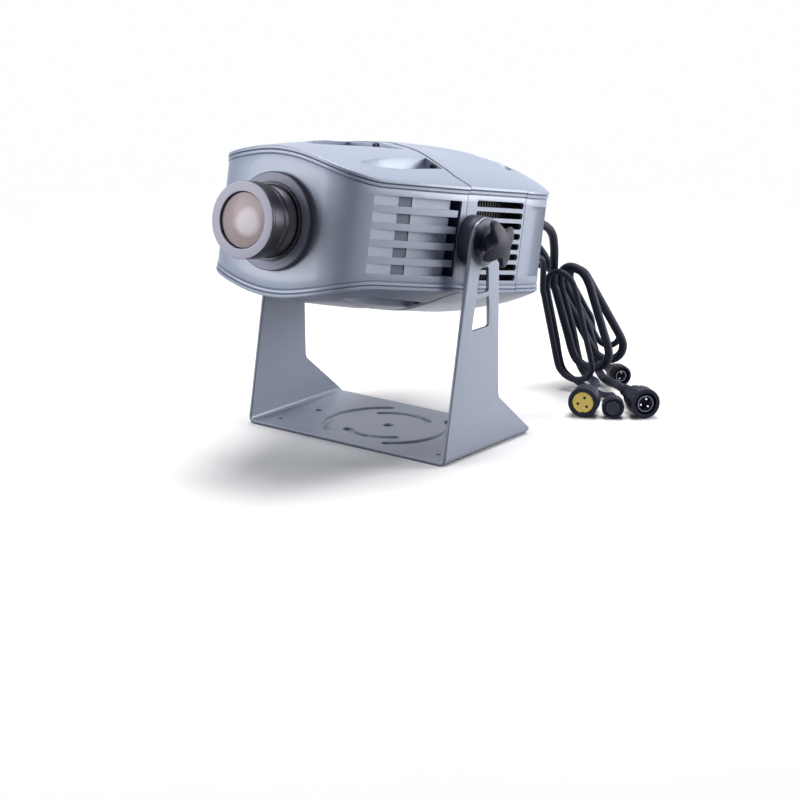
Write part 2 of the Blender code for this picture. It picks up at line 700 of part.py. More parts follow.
def yoke_bracket():
    """U-shaped bracket of one bent sheet, with its windows, stud holes and mounting slots."""
    depth = FOOT_REAR - FOOT_FRONT
    middle = (FOOT_REAR + FOOT_FRONT) / 2.0
    body = plate("yoke_bracket", bracket_profile(), depth, "XZ", (0.0, middle, 0.0), painted())
    side = plate("arm_outline", arm_outline(), 2.0 * BRACKET_HALF + 20.0, "YZ", (0, 0, 0), cutter=True)
    boolean(body, side, "INTERSECT")
    for index, corners in enumerate(ARM_WINDOWS):
        window = plate(f"arm_window_{index + 1}", rounded_polygon(list(corners), 2.5, 2), 2.0 * BRACKET_HALF + 20.0,
                       "YZ", (0, 0, 0), cutter=True)
        cut(body, window)
    cut(body, cylinder("arm_stud_holes", (0, 0, PIVOT_HEIGHT), STUD_HOLE_RADIUS, 2.0 * BRACKET_HALF + 20.0, "X",
                       cutter=True, sides=20))
    for index, (radius, start, end) in enumerate(BASE_SLOTS):
        slot = plate(f"base_slot_{index + 1}", arc_slot(BASE_CENTRE, radius, 6.5, start, end), 20.0, "XY", (0, 0, 0),
                     cutter=True)
        cut(body, slot)
    for index, ((x, y), radius) in enumerate(BASE_HOLES):
        cut(body, cylinder(f"base_hole_{index + 1}", (x, y, 0), radius, 20.0, "Z", cutter=True, sides=14))
    return smooth(tidy_faces(body))


# Clamping knobs

KNOB_RADIUS = 24.0
KNOB_RINGS = (
    # along the axis from the arm, scale of the star, share of roundness
    (4.0, 0.74, 0.8), (6.0, 0.93, 0.1), (9.0, 1.0, 0.0), (16.5, 1.0, 0.0), (19.6, 0.9, 0.0), (21.0, 0.6, 0.4),
)
KNOB_COLLAR = 14.0        # radius of the bell-shaped base
KNOB_COLLAR_LENGTH = 3.2


def star_ring(scale, roundness, count=25):
    """Five-lobed star outline, blended towards a circle by its roundness."""
    angles = np.linspace(0.0, 2.0 * math.pi, count, endpoint=False)
    star = KNOB_RADIUS * (0.775 + 0.225 * np.cos(5.0 * angles) - 0.03 * (1.0 - np.cos(10.0 * angles)))
    radius = scale * ((1.0 - roundness) * star + roundness * 0.8 * KNOB_RADIUS)
    return radius, angles


def star_knob(name, side, turn):
    """Five-lobed knob with a collar, bored from the arm side for its stud."""
    start = BRACKET_HALF + GAP
    work = bmesh.new()
    rings = []
    collar = [(0.0, KNOB_COLLAR), (KNOB_COLLAR_LENGTH, KNOB_COLLAR)]
    for along, size in collar:
        radius, angles = star_ring(1.0, 1.0)
        rings.append((along, np.full_like(angles, size), angles))
    for along, scale, roundness in KNOB_RINGS:
        radius, angles = star_ring(scale, roundness)
        rings.append((along + 0.15, radius, angles))
    made = []
    for along, radius, angles in rings:
        points = zip(radius * np.cos(angles + turn), radius * np.sin(angles + turn))
        made.append([work.verts.new(Vector((side * (start + along), y, z)) * MM) for y, z in points])
    for low, high in zip(made, made[1:]):
        for index in range(len(low)):
            following = (index + 1) % len(low)
            work.faces.new((low[index], low[following], high[following], high[index]))
    work.faces.new(made[0])
    work.faces.new(made[-1])
    knob = bmesh_object(name, work, black_plastic())
    knob.location = (0.0, 0.0, PIVOT_HEIGHT * MM)
    bore = cylinder(name + "_bore", (side * (start + 6.0), 0.0, PIVOT_HEIGHT), STUD_RADIUS + GAP, 14.0, "X",
                    cutter=True, sides=24)
    cut(knob, bore)
    return smooth(knob, 50.0)


STUD_RADIUS = 4.0
STUD_INNER = 96.0         # inner end of the stud, inside the housing wall


def knob_stud(name, side):
    """Steel stud that clamps the arm between the knob and the boss."""
    outer = BRACKET_HALF + GAP + 12.7
    middle = (outer + STUD_INNER) / 2.0
    return smooth(cylinder(name, (side * middle, 0.0, PIVOT_HEIGHT), STUD_RADIUS, outer - STUD_INNER, "X", steel(),
                           sides=24))


# Lens

def lens_flange(pivot):
    """Stepped flange on the front face that guides the barrel."""
    rear = -FRONT_LENGTH - GAP
    bore = BARREL_RADIUS + GAP
    profile = [(bore, rear), (38.0, rear), (38.0, rear - 2.4), (FLANGE_RADIUS, rear - 2.4),
               (FLANGE_RADIUS, FLANGE_FACE + 0.8), (FLANGE_RADIUS - 0.8, FLANGE_FACE), (bore, FLANGE_FACE)]
    return smooth(turned("lens_flange", profile, anodised(), pivot, steps=32))


def lens_lock_ring(pivot):
    """Ring that locks the barrel, close in front of the flange."""
    rear = FLANGE_FACE - GAP
    bore = BARREL_RADIUS + GAP
    profile = [(bore, rear), (38.0, rear), (38.0, rear - 2.6), (37.4, rear - 3.2), (bore, rear - 3.2)]
    return smooth(turned("lens_lock_ring", profile, anodised(), pivot, steps=28))


NOSE_RADIUS = 29.8
BARREL_FRONT = LENS_FRONT + 16.3
BARREL_REAR = -118.0


def lens_barrel(pivot):
    """Focusing barrel with a stepped nose that the front ring fits over."""
    profile = [(25.2, BARREL_FRONT - 4.0), (NOSE_RADIUS, BARREL_FRONT - 4.0), (NOSE_RADIUS, BARREL_FRONT),
               (BARREL_RADIUS, BARREL_FRONT), (BARREL_RADIUS, BARREL_REAR),
               (26.5, BARREL_REAR), (26.5, -180.0), (25.2, -180.0)]
    return smooth(turned("lens_barrel", profile, anodised(), pivot, steps=28))


def lens_front_ring(pivot):
    """Wide front ring, whose lip holds the front lens against the barrel's nose."""
    rear = LENS_FRONT + 16.0
    profile = [(23.6, LENS_FRONT), (LENS_RING_RADIUS - 0.7, LENS_FRONT), (LENS_RING_RADIUS, LENS_FRONT + 0.7),
               (LENS_RING_RADIUS, rear), (NOSE_RADIUS + GAP, rear), (NOSE_RADIUS + GAP, rear - 4.3),
               (27.0, rear - 4.3), (27.0, LENS_FRONT + 2.5), (23.6, LENS_FRONT + 2.5)]
    return smooth(turned("lens_front_ring", profile, anodised(), pivot, steps=32))


def lens_profile(radius, front, rear, front_bulge, rear_bulge):
    """Half section of a lens between its two edge planes, bulging past them in the middle."""
    shares = np.linspace(0.0, 1.0, 4)
    face = [(radius * t, front - front_bulge * (1.0 - t * t)) for t in shares]
    back = [(radius * t, rear + rear_bulge * (1.0 - t * t)) for t in reversed(shares)]
    return face + back


def objective_lenses(pivot):
    """Front lens in the ring and rear lens in the barrel."""
    front = LENS_FRONT + 2.5 + GAP
    bulged = lens_profile(23.0, front - 0.4, BARREL_FRONT - 4.3, 2.6, 0.6)
    bulged[4:4] = [(23.2, front), (26.7, front), (26.7, BARREL_FRONT - 4.3)]
    smooth(turned("objective_front_lens", bulged, lens_glass(), pivot, steps=24))
    smooth(turned("objective_rear_lens", lens_profile(26.2, -134.0, -128.0, 3.0, 2.0), lens_glass(), pivot, steps=20))


# Light engine and effect

SINK_FRONT = 8.0
SINK_FINS = 15
FIN_PITCH = 4.4
FIN_THICK = 1.4


def heat_sink(pivot):
    """Comb of cooling fins on a central spine, behind the emitter."""
    base = 5.0
    spine = 12.0
    reach = 82.0
    right = [(reach, SINK_FRONT), (reach, SINK_FRONT + base)]
    level = SINK_FRONT + base
    for _ in range(SINK_FINS):
        right += [(spine, level), (spine, level + FIN_PITCH - FIN_THICK)]
        right += [(reach, level + FIN_PITCH - FIN_THICK), (reach, level + FIN_PITCH)]
        level += FIN_PITCH
    left = [(-x, y) for x, y in reversed(right)]
    return plate("heat_sink", right + left, 76.0, "XY", (0.0, 0.0, 0.0), bare_aluminium(), pivot)


def emitter(pivot):
    """Square board with the round emitter in its middle."""
    board_front = SINK_FRONT - GAP - 2.0
    box("led_board", (0.0, board_front + 1.0, 0.0), (30.0, 2.0, 30.0), bare_aluminium(), pivot)
    disc = lens_profile(10.5, board_front - GAP - 0.4, board_front - GAP, 1.2, 0.0)
    look = material("phosphor", (0.85, 0.75, 0.25, 1.0), 0.4)
    smooth(turned("led_emitter", disc, look, pivot, steps=16))


def condenser(pivot):
    """Tube in front of the emitter with the condenser lens seated in it."""
    rear = SINK_FRONT - GAP
    front = -38.0
    seat = -18.0
    profile = [(24.3, front), (29.0, front), (29.0, rear - 4.0), (33.0, rear - 4.0), (33.0, rear), (22.3, rear),
               (22.3, seat), (24.3, seat)]
    smooth(turned("condenser_holder", profile, anodised(), pivot, steps=20))
    smooth(turned("condenser_lens", lens_profile(24.0, -22.0, seat - GAP, 9.0, 0.0), lens_glass(), pivot, steps=18))


PLATE_FRONT = -62.0
PLATE_THICK = 3.0
RING_TEETH = 32
PINION_TEETH = 8
GEAR_MODULE = 2.0
GEAR_FACE = 4.0


def gear_outline(teeth, module, backlash=0.18):
    """Gear outline with straight-flanked teeth, one tooth centred on the first axis."""
    pitch = teeth * module / 2.0
    points = []
    for tooth in range(teeth):
        middle = 2.0 * math.pi * tooth / teeth
        thick = math.pi * module / 2.0 - backlash
        for radius, width in ((pitch - 1.2 * module, 1.3), (pitch + 0.85 * module, 0.45)):
            half = thick * width / 2.0 / radius
            points.append((radius, middle - half, middle + half))
    outline = []
    for root, tip in zip(points[::2], points[1::2]):
        for radius, angle in ((root[0], root[1]), (tip[0], tip[1]), (tip[0], tip[2]), (root[0], root[2])):
            outline.append((radius * math.cos(angle), radius * math.sin(angle)))
    return outline


def gobo_carrier(pivot):
    """Plate on four posts that carries the geared ring and its motor."""
    middle = PLATE_FRONT + PLATE_THICK / 2.0
    outline = rounded_polygon([(-50.0, -40.0), (60.0, -40.0), (60.0, 40.0), (-50.0, 40.0)], 6.0)
    carrier = plate("gobo_carrier", outline, PLATE_THICK, "XZ", (0.0, middle, 0.0), bare_aluminium(), pivot)
    post_rear = SINK_FRONT - GAP
    post_front = PLATE_FRONT + 1.0
    for index, (x, z) in enumerate(((-42.0, -33.0), (-42.0, 33.0), (50.0, -33.0), (50.0, 33.0))):
        post = cylinder(f"carrier_post_{index + 1}", (x, (post_rear + post_front) / 2.0, z), 3.0,
                        post_rear - post_front, "Y", parent=pivot, cutter=True, sides=14)
        boolean(carrier, post, "UNION")
    cut(carrier, cylinder("ring_hole", (0, PLATE_FRONT, 0), 30.5, 20.0, "Y", parent=pivot, cutter=True, sides=28))
    centre = (RING_TEETH + PINION_TEETH) * GEAR_MODULE / 2.0
    cut(carrier, cylinder("shaft_hole", (centre, PLATE_FRONT, 0), 3.4, 20.0, "Y", parent=pivot, cutter=True, sides=16))
    return tidy_faces(carrier)


def gobo_ring_gear(pivot):
    """Toothed ring that carries the pierced disc and turns in the plate."""
    middle = PLATE_FRONT - GAP - GEAR_FACE / 2.0
    gear = plate("gobo_ring_gear", gear_outline(RING_TEETH, GEAR_MODULE), GEAR_FACE, "XZ", (0.0, middle, 0.0),
                 material("brass", (0.7, 0.55, 0.25, 1.0), 0.3, 1.0), pivot)
    hub = cylinder("ring_hub", (0.0, PLATE_FRONT + 1.0, 0.0), 30.0, 4.0, "Y", parent=pivot, cutter=True, sides=28)
    boolean(gear, hub, "UNION")
    cut(gear, cylinder("ring_bore", (0, PLATE_FRONT, 0), 24.0, 30.0, "Y", parent=pivot, cutter=True, sides=28))
    seat = cylinder("disc_seat", (0.0, PLATE_FRONT - GAP - GEAR_FACE, 0.0), 26.5, 3.0, "Y", parent=pivot,
                    cutter=True, sides=28)
    cut(gear, seat)
    return tidy_faces(gear)


def snowflake_cutter(pivot, place):
    """Six-armed snowflake with a pair of side branches on each arm."""
    points = []
    for arm in range(6):
        turn = math.radians(60.0 * arm)
        half = [(2.8, 1.2), (8.0, 1.2), (11.2, 4.6), (12.6, 3.2), (10.6, 1.1), (18.5, 0.9)]
        both = [(x, -y) for x, y in half] + [(x, y) for x, y in reversed(half)]
        for x, y in both:
            points.append((x * math.cos(turn) - y * math.sin(turn), x * math.sin(turn) + y * math.cos(turn)))
    return plate("snowflake", points, 6.0, "XZ", (0.0, place, 0.0), parent=pivot, cutter=True)


def gobo_disc(pivot):
    """Thin steel disc with the snowflake pierced through it."""
    place = PLATE_FRONT - GAP - GEAR_FACE + 1.5 - GAP - 0.4
    disc = cylinder("gobo_disc", (0.0, place, 0.0), 26.0, 0.8, "Y", steel(), pivot, sides=28)
    cut(disc, snowflake_cutter(pivot, place))
    return disc


def gobo_drive(pivot):
    """Motor behind the plate and its pinion in front, in mesh with the ring."""
    centre = (RING_TEETH + PINION_TEETH) * GEAR_MODULE / 2.0
    plate_rear = PLATE_FRONT + PLATE_THICK
    motor = cylinder("gobo_motor", (centre, plate_rear + GAP + 11.0, 0.0), 11.0, 22.0, "Y",
                     material("zinc", (0.6, 0.6, 0.6, 1.0), 0.35, 1.0), pivot, sides=32)
    middle = PLATE_FRONT - GAP - GEAR_FACE / 2.0
    half_tooth = math.pi / PINION_TEETH
    outline = [(x * math.cos(half_tooth) - y * math.sin(half_tooth), x * math.sin(half_tooth) + y * math.cos(half_tooth))
               for x, y in gear_outline(PINION_TEETH, GEAR_MODULE)]
    pinion = plate("gobo_pinion", outline, GEAR_FACE, "XZ", (centre, middle, 0.0),
                   material("brass", (0.7, 0.55, 0.25, 1.0), 0.3, 1.0), pivot)
    front = middle
    shaft = cylinder("pinion_shaft", (centre, (front + plate_rear) / 2.0, 0.0), 2.2, plate_rear - front, "Y",
                     parent=pivot, cutter=True, sides=16)
    boolean(pinion, shaft, "UNION")
    return motor


FAN_FRONT = SINK_FRONT + 5.0 + SINK_FINS * FIN_PITCH + GAP
FAN_DEPTH = 20.0
FAN_BORE = 37.5


def fan_frame(pivot):
    """Square fan frame with a round duct and four struts to the motor mount."""
    side = 40.0
    middle = FAN_FRONT + FAN_DEPTH / 2.0
    outline = rounded_polygon([(-side, -side), (side, -side), (side, side), (-side, side)], 4.0)
    frame = plate("fan_frame", outline, FAN_DEPTH, "XZ", (0.0, middle, 0.0), black_plastic(), pivot)
    cut(frame, cylinder("fan_duct", (0.0, middle, 0.0), FAN_BORE, FAN_DEPTH + 10.0, "Y", parent=pivot, cutter=True, sides=36))
    rear = FAN_FRONT + FAN_DEPTH
    for index in range(2):
        strut = box(f"fan_strut_{index + 1}", (0.0, rear - 1.2, 0.0), (78.0, 2.4, 4.0), parent=pivot, cutter=True)
        strut.rotation_euler = (0.0, math.radians(45.0 + 90.0 * index), 0.0)
        boolean(frame, strut, "UNION")
    mount = cylinder("fan_mount", (0.0, rear - 1.5, 0.0), 15.0, 3.0, "Y", parent=pivot, cutter=True, sides=20)
    boolean(frame, mount, "UNION")
    return tidy_faces(frame)


def fan_rotor(pivot):
    """Hub with seven pitched blades."""
    hub_front = FAN_FRONT + 1.5
    hub_rear = FAN_FRONT + FAN_DEPTH - 3.0 - GAP
    profile = [(0.0, hub_front), (13.5, hub_front), (15.0, hub_front + 1.5), (15.0, hub_rear), (0.0, hub_rear)]
    rotor = turned("fan_rotor", profile, black_plastic(), pivot, steps=21)
    middle = (hub_front + hub_rear) / 2.0
    for index in range(7):
        blade = box(f"fan_blade_{index + 1}", (0.0, 0.0, 0.0), (22.0, 1.6, 15.0), parent=pivot, cutter=True)
        turn = Matrix.Rotation(2.0 * math.pi * index / 7.0, 4, "Y")
        pitch = Matrix.Rotation(math.radians(40.0), 4, "X")
        blade.matrix_basis = Matrix.Translation((0.0, middle * MM, 0.0)) @ turn @ Matrix.Translation(
            (25.3 * MM, 0.0, 0.0)) @ pitch
        boolean(rotor, blade, "UNION")
    return rotor


# Electronics and rear panel

WINDOW_HOLES = (-19.5, -6.5, 6.5, 19.5)
BUTTON_HEIGHT = -13.0


def electronics(pivot):
    """Power supply under the heat sink, display module and its board behind the panel."""
    box("power_supply", (0.0, 45.0, -38.0 - GAP - 12.0), (104.0, 62.0, 24.0), bare_aluminium(), pivot, bevel=0.8)
    box("display_module", (0.0, 141.35, 9.0), (46.0, 10.7, 24.0), black_plastic(), pivot)
    box("control_board", (0.0, 135.2, 0.0), (72.0, 1.6, 58.0), board_green(), pivot)


def display_window(pivot):
    """Overlay on the rear panel, with a hole for each button."""
    middle = REAR_LENGTH + GAP + 0.8
    corners = [(-30.0, -24.0), (30.0, -24.0), (30.0, 26.0), (-30.0, 26.0)]
    holes = [arc((x, BUTTON_HEIGHT), 3.9, 0.0, 337.5, 16) for x in WINDOW_HOLES]
    look = material("black_overlay", (0.02, 0.02, 0.024, 1.0), 0.15)
    return plate("display_window", rounded_polygon(corners, 4.0), 1.6, "XZ", (0.0, middle, 0.0), look, pivot,
                 holes=holes)


def menu_buttons(pivot):
    """Four round buttons that slide in the window's holes."""
    look = material("grey_button", (0.6, 0.62, 0.66, 1.0), 0.4)
    for index, x in enumerate(WINDOW_HOLES):
        tip = REAR_LENGTH + GAP + 1.6 + 1.0
        profile = [(0.0, 137.2), (3.5, 137.2), (3.5, tip - 0.5), (3.0, tip), (0.0, tip)]
        made = turned(f"menu_button_{index + 1}", profile, look, pivot, steps=12,
                      location=(x, 0.0, BUTTON_HEIGHT))
        smooth(made)


def gland(pivot, name, x, height, thread, corner, cord):
    """Cable gland: hexagon body through the panel, and a hexagon nut with a domed end."""
    panel = REAR_LENGTH + GAP
    body = cylinder(f"gland_body_{name}", (x, panel + 2.5, height), corner, 5.0, "Y", nickel(), pivot, sides=6)
    neck = cylinder(f"gland_neck_{name}", (x, panel + 8.0, height), thread, 8.0, "Y", parent=pivot, cutter=True,
                    sides=18)
    shank = cylinder(f"gland_shank_{name}", (x, panel - 4.0, height), thread - SHANK, 12.0, "Y", parent=pivot,
                     cutter=True, sides=18)
    boolean(body, neck, "UNION")
    boolean(body, shank, "UNION")
    start = panel + 5.0 + GAP
    mouth = cord / 2.0 + 1.6
    hexagon = 0.93 * corner
    nut = cylinder(f"gland_nut_{name}", (x, start + 4.0, height), hexagon, 8.0, "Y", nickel(), pivot, sides=6)
    round_part = hexagon * 0.86
    dome = [(0.0, start + 6.0), (round_part, start + 6.0), (round_part, start + 10.0),
            (0.5 * (round_part + mouth) + 0.8, start + 14.0), (mouth, start + 16.0), (0.0, start + 16.0)]
    boolean(nut, turned(f"gland_dome_{name}", dome, parent=pivot, cutter=True, steps=18,
                        location=(x, 0.0, height)), "UNION")
    bore = cylinder(f"gland_bore_{name}", (x, start + 1.0, height), thread + GAP, 12.6, "Y", parent=pivot,
                    cutter=True, sides=18)
    cut(nut, bore)
    smooth(body, 25.0)
    return smooth(nut, 25.0)


GLAND_MOUTH = REAR_LENGTH + GAP + 5.0 + GAP + 16.0


def head_point(x, y, z):
    """World place of a point given in the head's frame at rest."""
    tilt = math.radians(REST_TILT)
    return np.array([x, y * math.cos(tilt) + z * math.sin(tilt),
                     PIVOT_HEIGHT - y * math.sin(tilt) + z * math.cos(tilt)])


# Cords

HANK_TOP = np.array([0.0, 212.0, 148.0])
HANK_DOWN = np.array([0.0, 0.187, -0.982])
HANK_BACK = np.array([0.0, 0.982, 0.187])
LOOP_POINTS = 24


def hank_place(across, down, back):
    """World place of a point given across, down and back in the hank's own plane."""
    return HANK_TOP + across * np.array([1.0, 0.0, 0.0]) + down * HANK_DOWN + back * HANK_BACK


def racetrack(turns, half_width, half_length):
    """Place on a long oval after so many turns from its top, as (across, down)."""
    side = 2.0 * (half_length - half_width)
    bend = math.pi * half_width
    along = (turns % 1.0) * 2.0 * (side + bend) - bend / 2.0
    if along < 0.0:
        angle = along / half_width
        return -half_width * math.cos(angle), half_width * math.sin(angle) - side / 2.0
    if along > 2.0 * side + bend:
        angle = (along - 2.0 * side - bend) / half_width
        return half_width * math.cos(angle), -half_width * math.sin(angle) - side / 2.0
    if along < side:
        return -half_width, along - side / 2.0
    if along < side + bend:
        angle = (along - side) / half_width
        return -half_width * math.cos(angle), side / 2.0 + half_width * math.sin(angle)
    return half_width, side / 2.0 - (along - side - bend)


def hank_loops(middle, size, lean, back, pitch):
    """Points round the hank's oval loops, one layer deeper for each turn."""
    points = []
    count = int(round((HANK_END - HANK_START) * LOOP_POINTS))
    tilt = math.radians(lean)
    for step in range(count + 1):
        turned_by = (HANK_END - HANK_START) * step / count
        across, down = racetrack(HANK_START + turned_by, *size)
        across *= 1.0 + HANK_FLARE * down / size[1]
        points.append(hank_place(middle[0] + across * math.cos(tilt) + down * math.sin(tilt),
                                 middle[1] + down * math.cos(tilt) - across * math.sin(tilt),
                                 back + pitch * turned_by))
    return points


def even_points(points, spacing):
    """Evenly spaced points on a smooth curve through the given points, and the curve's length."""
    points = [np.asarray(p, dtype=float) for p in points]
    fine = np.array([spline_point(points, t) for t in np.linspace(0.0, len(points) - 1.0, 40 * len(points))])
    length = np.r_[0.0, np.cumsum(np.linalg.norm(np.diff(fine, axis=0), axis=1))]
    count = max(3, int(round(length[-1] / spacing)))
    wanted = np.linspace(0.0, length[-1], count + 1)
    return np.column_stack([np.interp(wanted, length, fine[:, axis]) for axis in range(3)]), length[-1]


def smooth_route(route, spacing):
    """Points of a cord along its route, whose first and last pieces stay exactly straight."""
    points, length = even_points(route, spacing)
    clear = 0.7 * spacing
    keep = [p for p in points if np.linalg.norm(p - route[0]) > np.linalg.norm(route[1] - route[0]) + clear
            and np.linalg.norm(p - route[-1]) > np.linalg.norm(route[-2] - route[-1]) + clear]
    return np.array([route[0], route[1], *keep, route[-2], route[-1]]), length


def least_gap(points, diameter, skip=5):
    """Least clear distance between parts of a tube that are not neighbours along it."""
    fine = even_points(points, 1.5)[0]
    apart = np.linalg.norm(fine[:, None, :] - fine[None, :, :], axis=2) - diameter
    index = np.arange(len(fine))
    near = np.abs(index[:, None] - index[None, :]) * 1.5 < skip * diameter
    apart[near] = 1e9
    return apart.min()


def gap_between(first, second, reach):
    """Least clear distance between two tubes whose radii add up to reach."""
    one = even_points(first, 1.5)[0]
    two = even_points(second, 1.5)[0]
    return np.linalg.norm(one[:, None, :] - two[None, :, :], axis=2).min() - reach


def tube(name, points, diameter, resolution, look):
    """Round tube along the points, as a curve with filled caps."""
    data = bpy.data.curves.new(name, "CURVE")
    data.dimensions = "3D"
    data.bevel_depth = diameter / 2.0 * MM
    data.bevel_resolution = resolution
    data.use_fill_caps = True
    spline = data.splines.new("POLY")
    spline.points.add(len(points) - 1)
    for slot, point in zip(spline.points, points):
        slot.co = (point[0] * MM, point[1] * MM, point[2] * MM, 1.0)
    made = bpy.data.objects.new(name, data)
    data.materials.append(look)
    PARTS.objects.link(made)
    return made


CONNECTORS = {
    # name: (face middle, direction from the face to the tail, large or small, depth of its socket)
    "power_out": ((127.0, 162.0, 15.3), (-0.36, 0.93, 0.0), True, 3.0),
    "power_in": ((177.5, 197.5, 15.3), (-0.8, 0.6, 0.0), True, 11.0),
    "signal_out": ((153.0, 176.0, 11.3), (-0.53, 0.85, 0.0), False, 3.0),
    "signal_in": ((98.0, 286.0, 11.3), (-0.8, 0.6, 0.0), False, 9.0),
}
# Outline of each connector along its axis as (distance from the face, radius)
LARGE_OUTLINE = ((0.0, 15.0), (17.0, 15.0), (18.0, 11.4), (30.0, 11.4), (33.0, 8.4))
SMALL_OUTLINE = ((0.0, 11.0), (12.5, 11.0), (13.3, 8.2), (22.0, 8.2), (24.4, 6.2))
RELIEF_RIBS = 4


def connector_outline(large):
    """Connector outline with a ribbed strain relief at its tail."""
    outline = list(LARGE_OUTLINE if large else SMALL_OUTLINE)
    start = outline[-1][0]
    rib = 5.2 if large else 4.2
    thick = 7.4 if large else 5.5
    thin = 5.6 if large else 4.2
    for index in range(RELIEF_RIBS):
        ease = 1.0 - 0.05 * index
        outline += [(start + rib * (index + 0.35), thick * ease), (start + rib * (index + 1.0), thin)]
    return outline


def connector_tail(name):
    """Middle of the connector's tail face, and the direction in which its cord leaves."""
    face, direction, large, _ = CONNECTORS[name]
    direction = np.array(direction) / np.linalg.norm(direction)
    return np.array(face) + direction * connector_outline(large)[-1][0], direction


def connector(name, look):
    """Waterproof connector lying on the floor, with a socket in its face."""
    face, direction, large, depth = CONNECTORS[name]
    outline = connector_outline(large)
    socket = 11.0 if large else 8.4
    profile = [(0.0, depth)] + [(socket, depth), (socket, 0.0)] + [(r, d) for d, r in outline] + [(0.0, outline[-1][0])]
    made = turned("connector_" + name, profile, look, axis="Z", steps=14)
    aim = Vector(direction).to_track_quat("Z", "Y").to_matrix().to_4x4()
    made.matrix_basis = Matrix.Translation(Vector(face) * MM) @ aim
    return smooth(made)


# Each cord's hank oval (middle, size and lean in the hank's plane, depth behind its front) and the
# route points of its lead and of its tail, world x, y and z
CORD_PLANS = {
    "power_out": dict(
        cord=POWER_CORD, gland=(GLAND_X, GLAND_Z), middle=(70.0, 78.0), size=(20.0, 54.0), lean=14.0, back=18.0,
        lead=((50.5, 212.0, 170.0), (47.5, 227.0, 150.0)),
        tail=((58.0, 267.0, 24.0), (69.0, 265.0, 12.0), (84.0, 252.0, 12.0), (96.0, 237.0, 15.0))),
    "power_in": dict(
        cord=POWER_CORD, gland=(-GLAND_X, GLAND_Z), middle=(68.0, 83.0), size=(17.5, 51.0), lean=30.0, back=40.0,
        lead=((-47.0, 203.0, 174.5), (-20.0, 233.0, 160.0), (12.0, 252.0, 141.0)),
        tail=((64.0, 288.0, 32.0), (70.0, 284.0, 17.0), (88.0, 268.0, 11.0), (112.0, 250.0, 13.0))),
    "signal_out": dict(
        cord=SIGNAL_CORD, gland=(GLAND_X, SMALL_GLAND_Z), middle=(63.5, 81.5), size=(19.0, 58.0), lean=9.0, back=1.0,
        lead=((50.5, 190.0, 145.0), (48.0, 206.0, 137.0)),
        tail=((51.0, 247.0, 20.0), (66.0, 254.0, 6.0), (88.0, 245.0, 4.2), (108.0, 232.0, 5.0))),
    "signal_in": dict(
        cord=SIGNAL_CORD, gland=(-GLAND_X, SMALL_GLAND_Z), middle=(58.0, 84.0), size=(13.0, 44.0), lean=30.0, back=61.0,
        lead=((-50.0, 182.0, 146.0), (-37.0, 215.0, 136.0), (-12.0, 250.0, 125.0), (12.0, 272.0, 115.0)),
        tail=((50.0, 307.0, 44.0), (42.0, 320.0, 24.0), (48.0, 322.0, 13.0))),
}
HANK_START = 0.12        # turns from the top of the oval
HANK_END = 1.3
HANK_FLARE = 0.12         # how much wider the ovals are at the foot than at the top


def cord_routes(name):
    """Points of a cord's hanging lead and of its hank with the tail, in millimetres."""
    plan = CORD_PLANS[name]
    diameter = plan["cord"]
    x, z = plan["gland"]
    exit_point = head_point(x, GLAND_MOUTH + GAP, z)
    straight_out = head_point(x, GLAND_MOUTH + GAP + diameter, z)
    loops = hank_loops(plan["middle"], plan["size"], plan["lean"], plan["back"], diameter + 1.0)
    heading = loops[1] - loops[0]
    heading /= np.linalg.norm(heading)
    lead = [exit_point, straight_out, *plan["lead"], loops[0] - heading * (diameter + GAP), loops[0] - heading * GAP]
    tail_face, tail_direction = connector_tail(name)
    tail = [tail_face + tail_direction * (diameter + GAP), tail_face + tail_direction * GAP]
    hank = [*loops, *plan["tail"], *tail]
    return lead, hank


def cords():
    """Four cords, each a hanging lead and a hank that ends at its connector."""
    rubber = black_rubber()
    routes = {}
    for name, plan in CORD_PLANS.items():
        lead, hank = cord_routes(name)
        diameter = plan["cord"]
        lead_points, lead_length = smooth_route(lead, 2.2 * diameter)
        loop_length = math.pi * (plan["size"][0] + plan["size"][1])
        hank_points, hank_length = smooth_route(hank, 1.25 * loop_length / LOOP_POINTS)
        tube(f"cord_{name}_lead", lead_points, diameter, 1, rubber)
        tube(f"cord_{name}_hank", hank_points, diameter, 1, rubber)
        routes[name] = (lead_points, hank_points, diameter)
        print(f"{name}: length {lead_length + hank_length:.0f} mm, least gap {least_gap(hank_points, diameter):.2f} mm,"
              f" lowest {hank_points[:, 2].min() - diameter / 2.0:.2f} mm")
    names = list(routes)
    for index, first in enumerate(names):
        for second in names[index + 1:]:
            reach = (routes[first][2] + routes[second][2]) / 2.0
            gaps = [gap_between(a, b, reach) for a in routes[first][:2] for b in routes[second][:2]]
            print(f"{first} to {second}: {min(gaps):.2f} mm", [round(g, 1) for g in gaps])


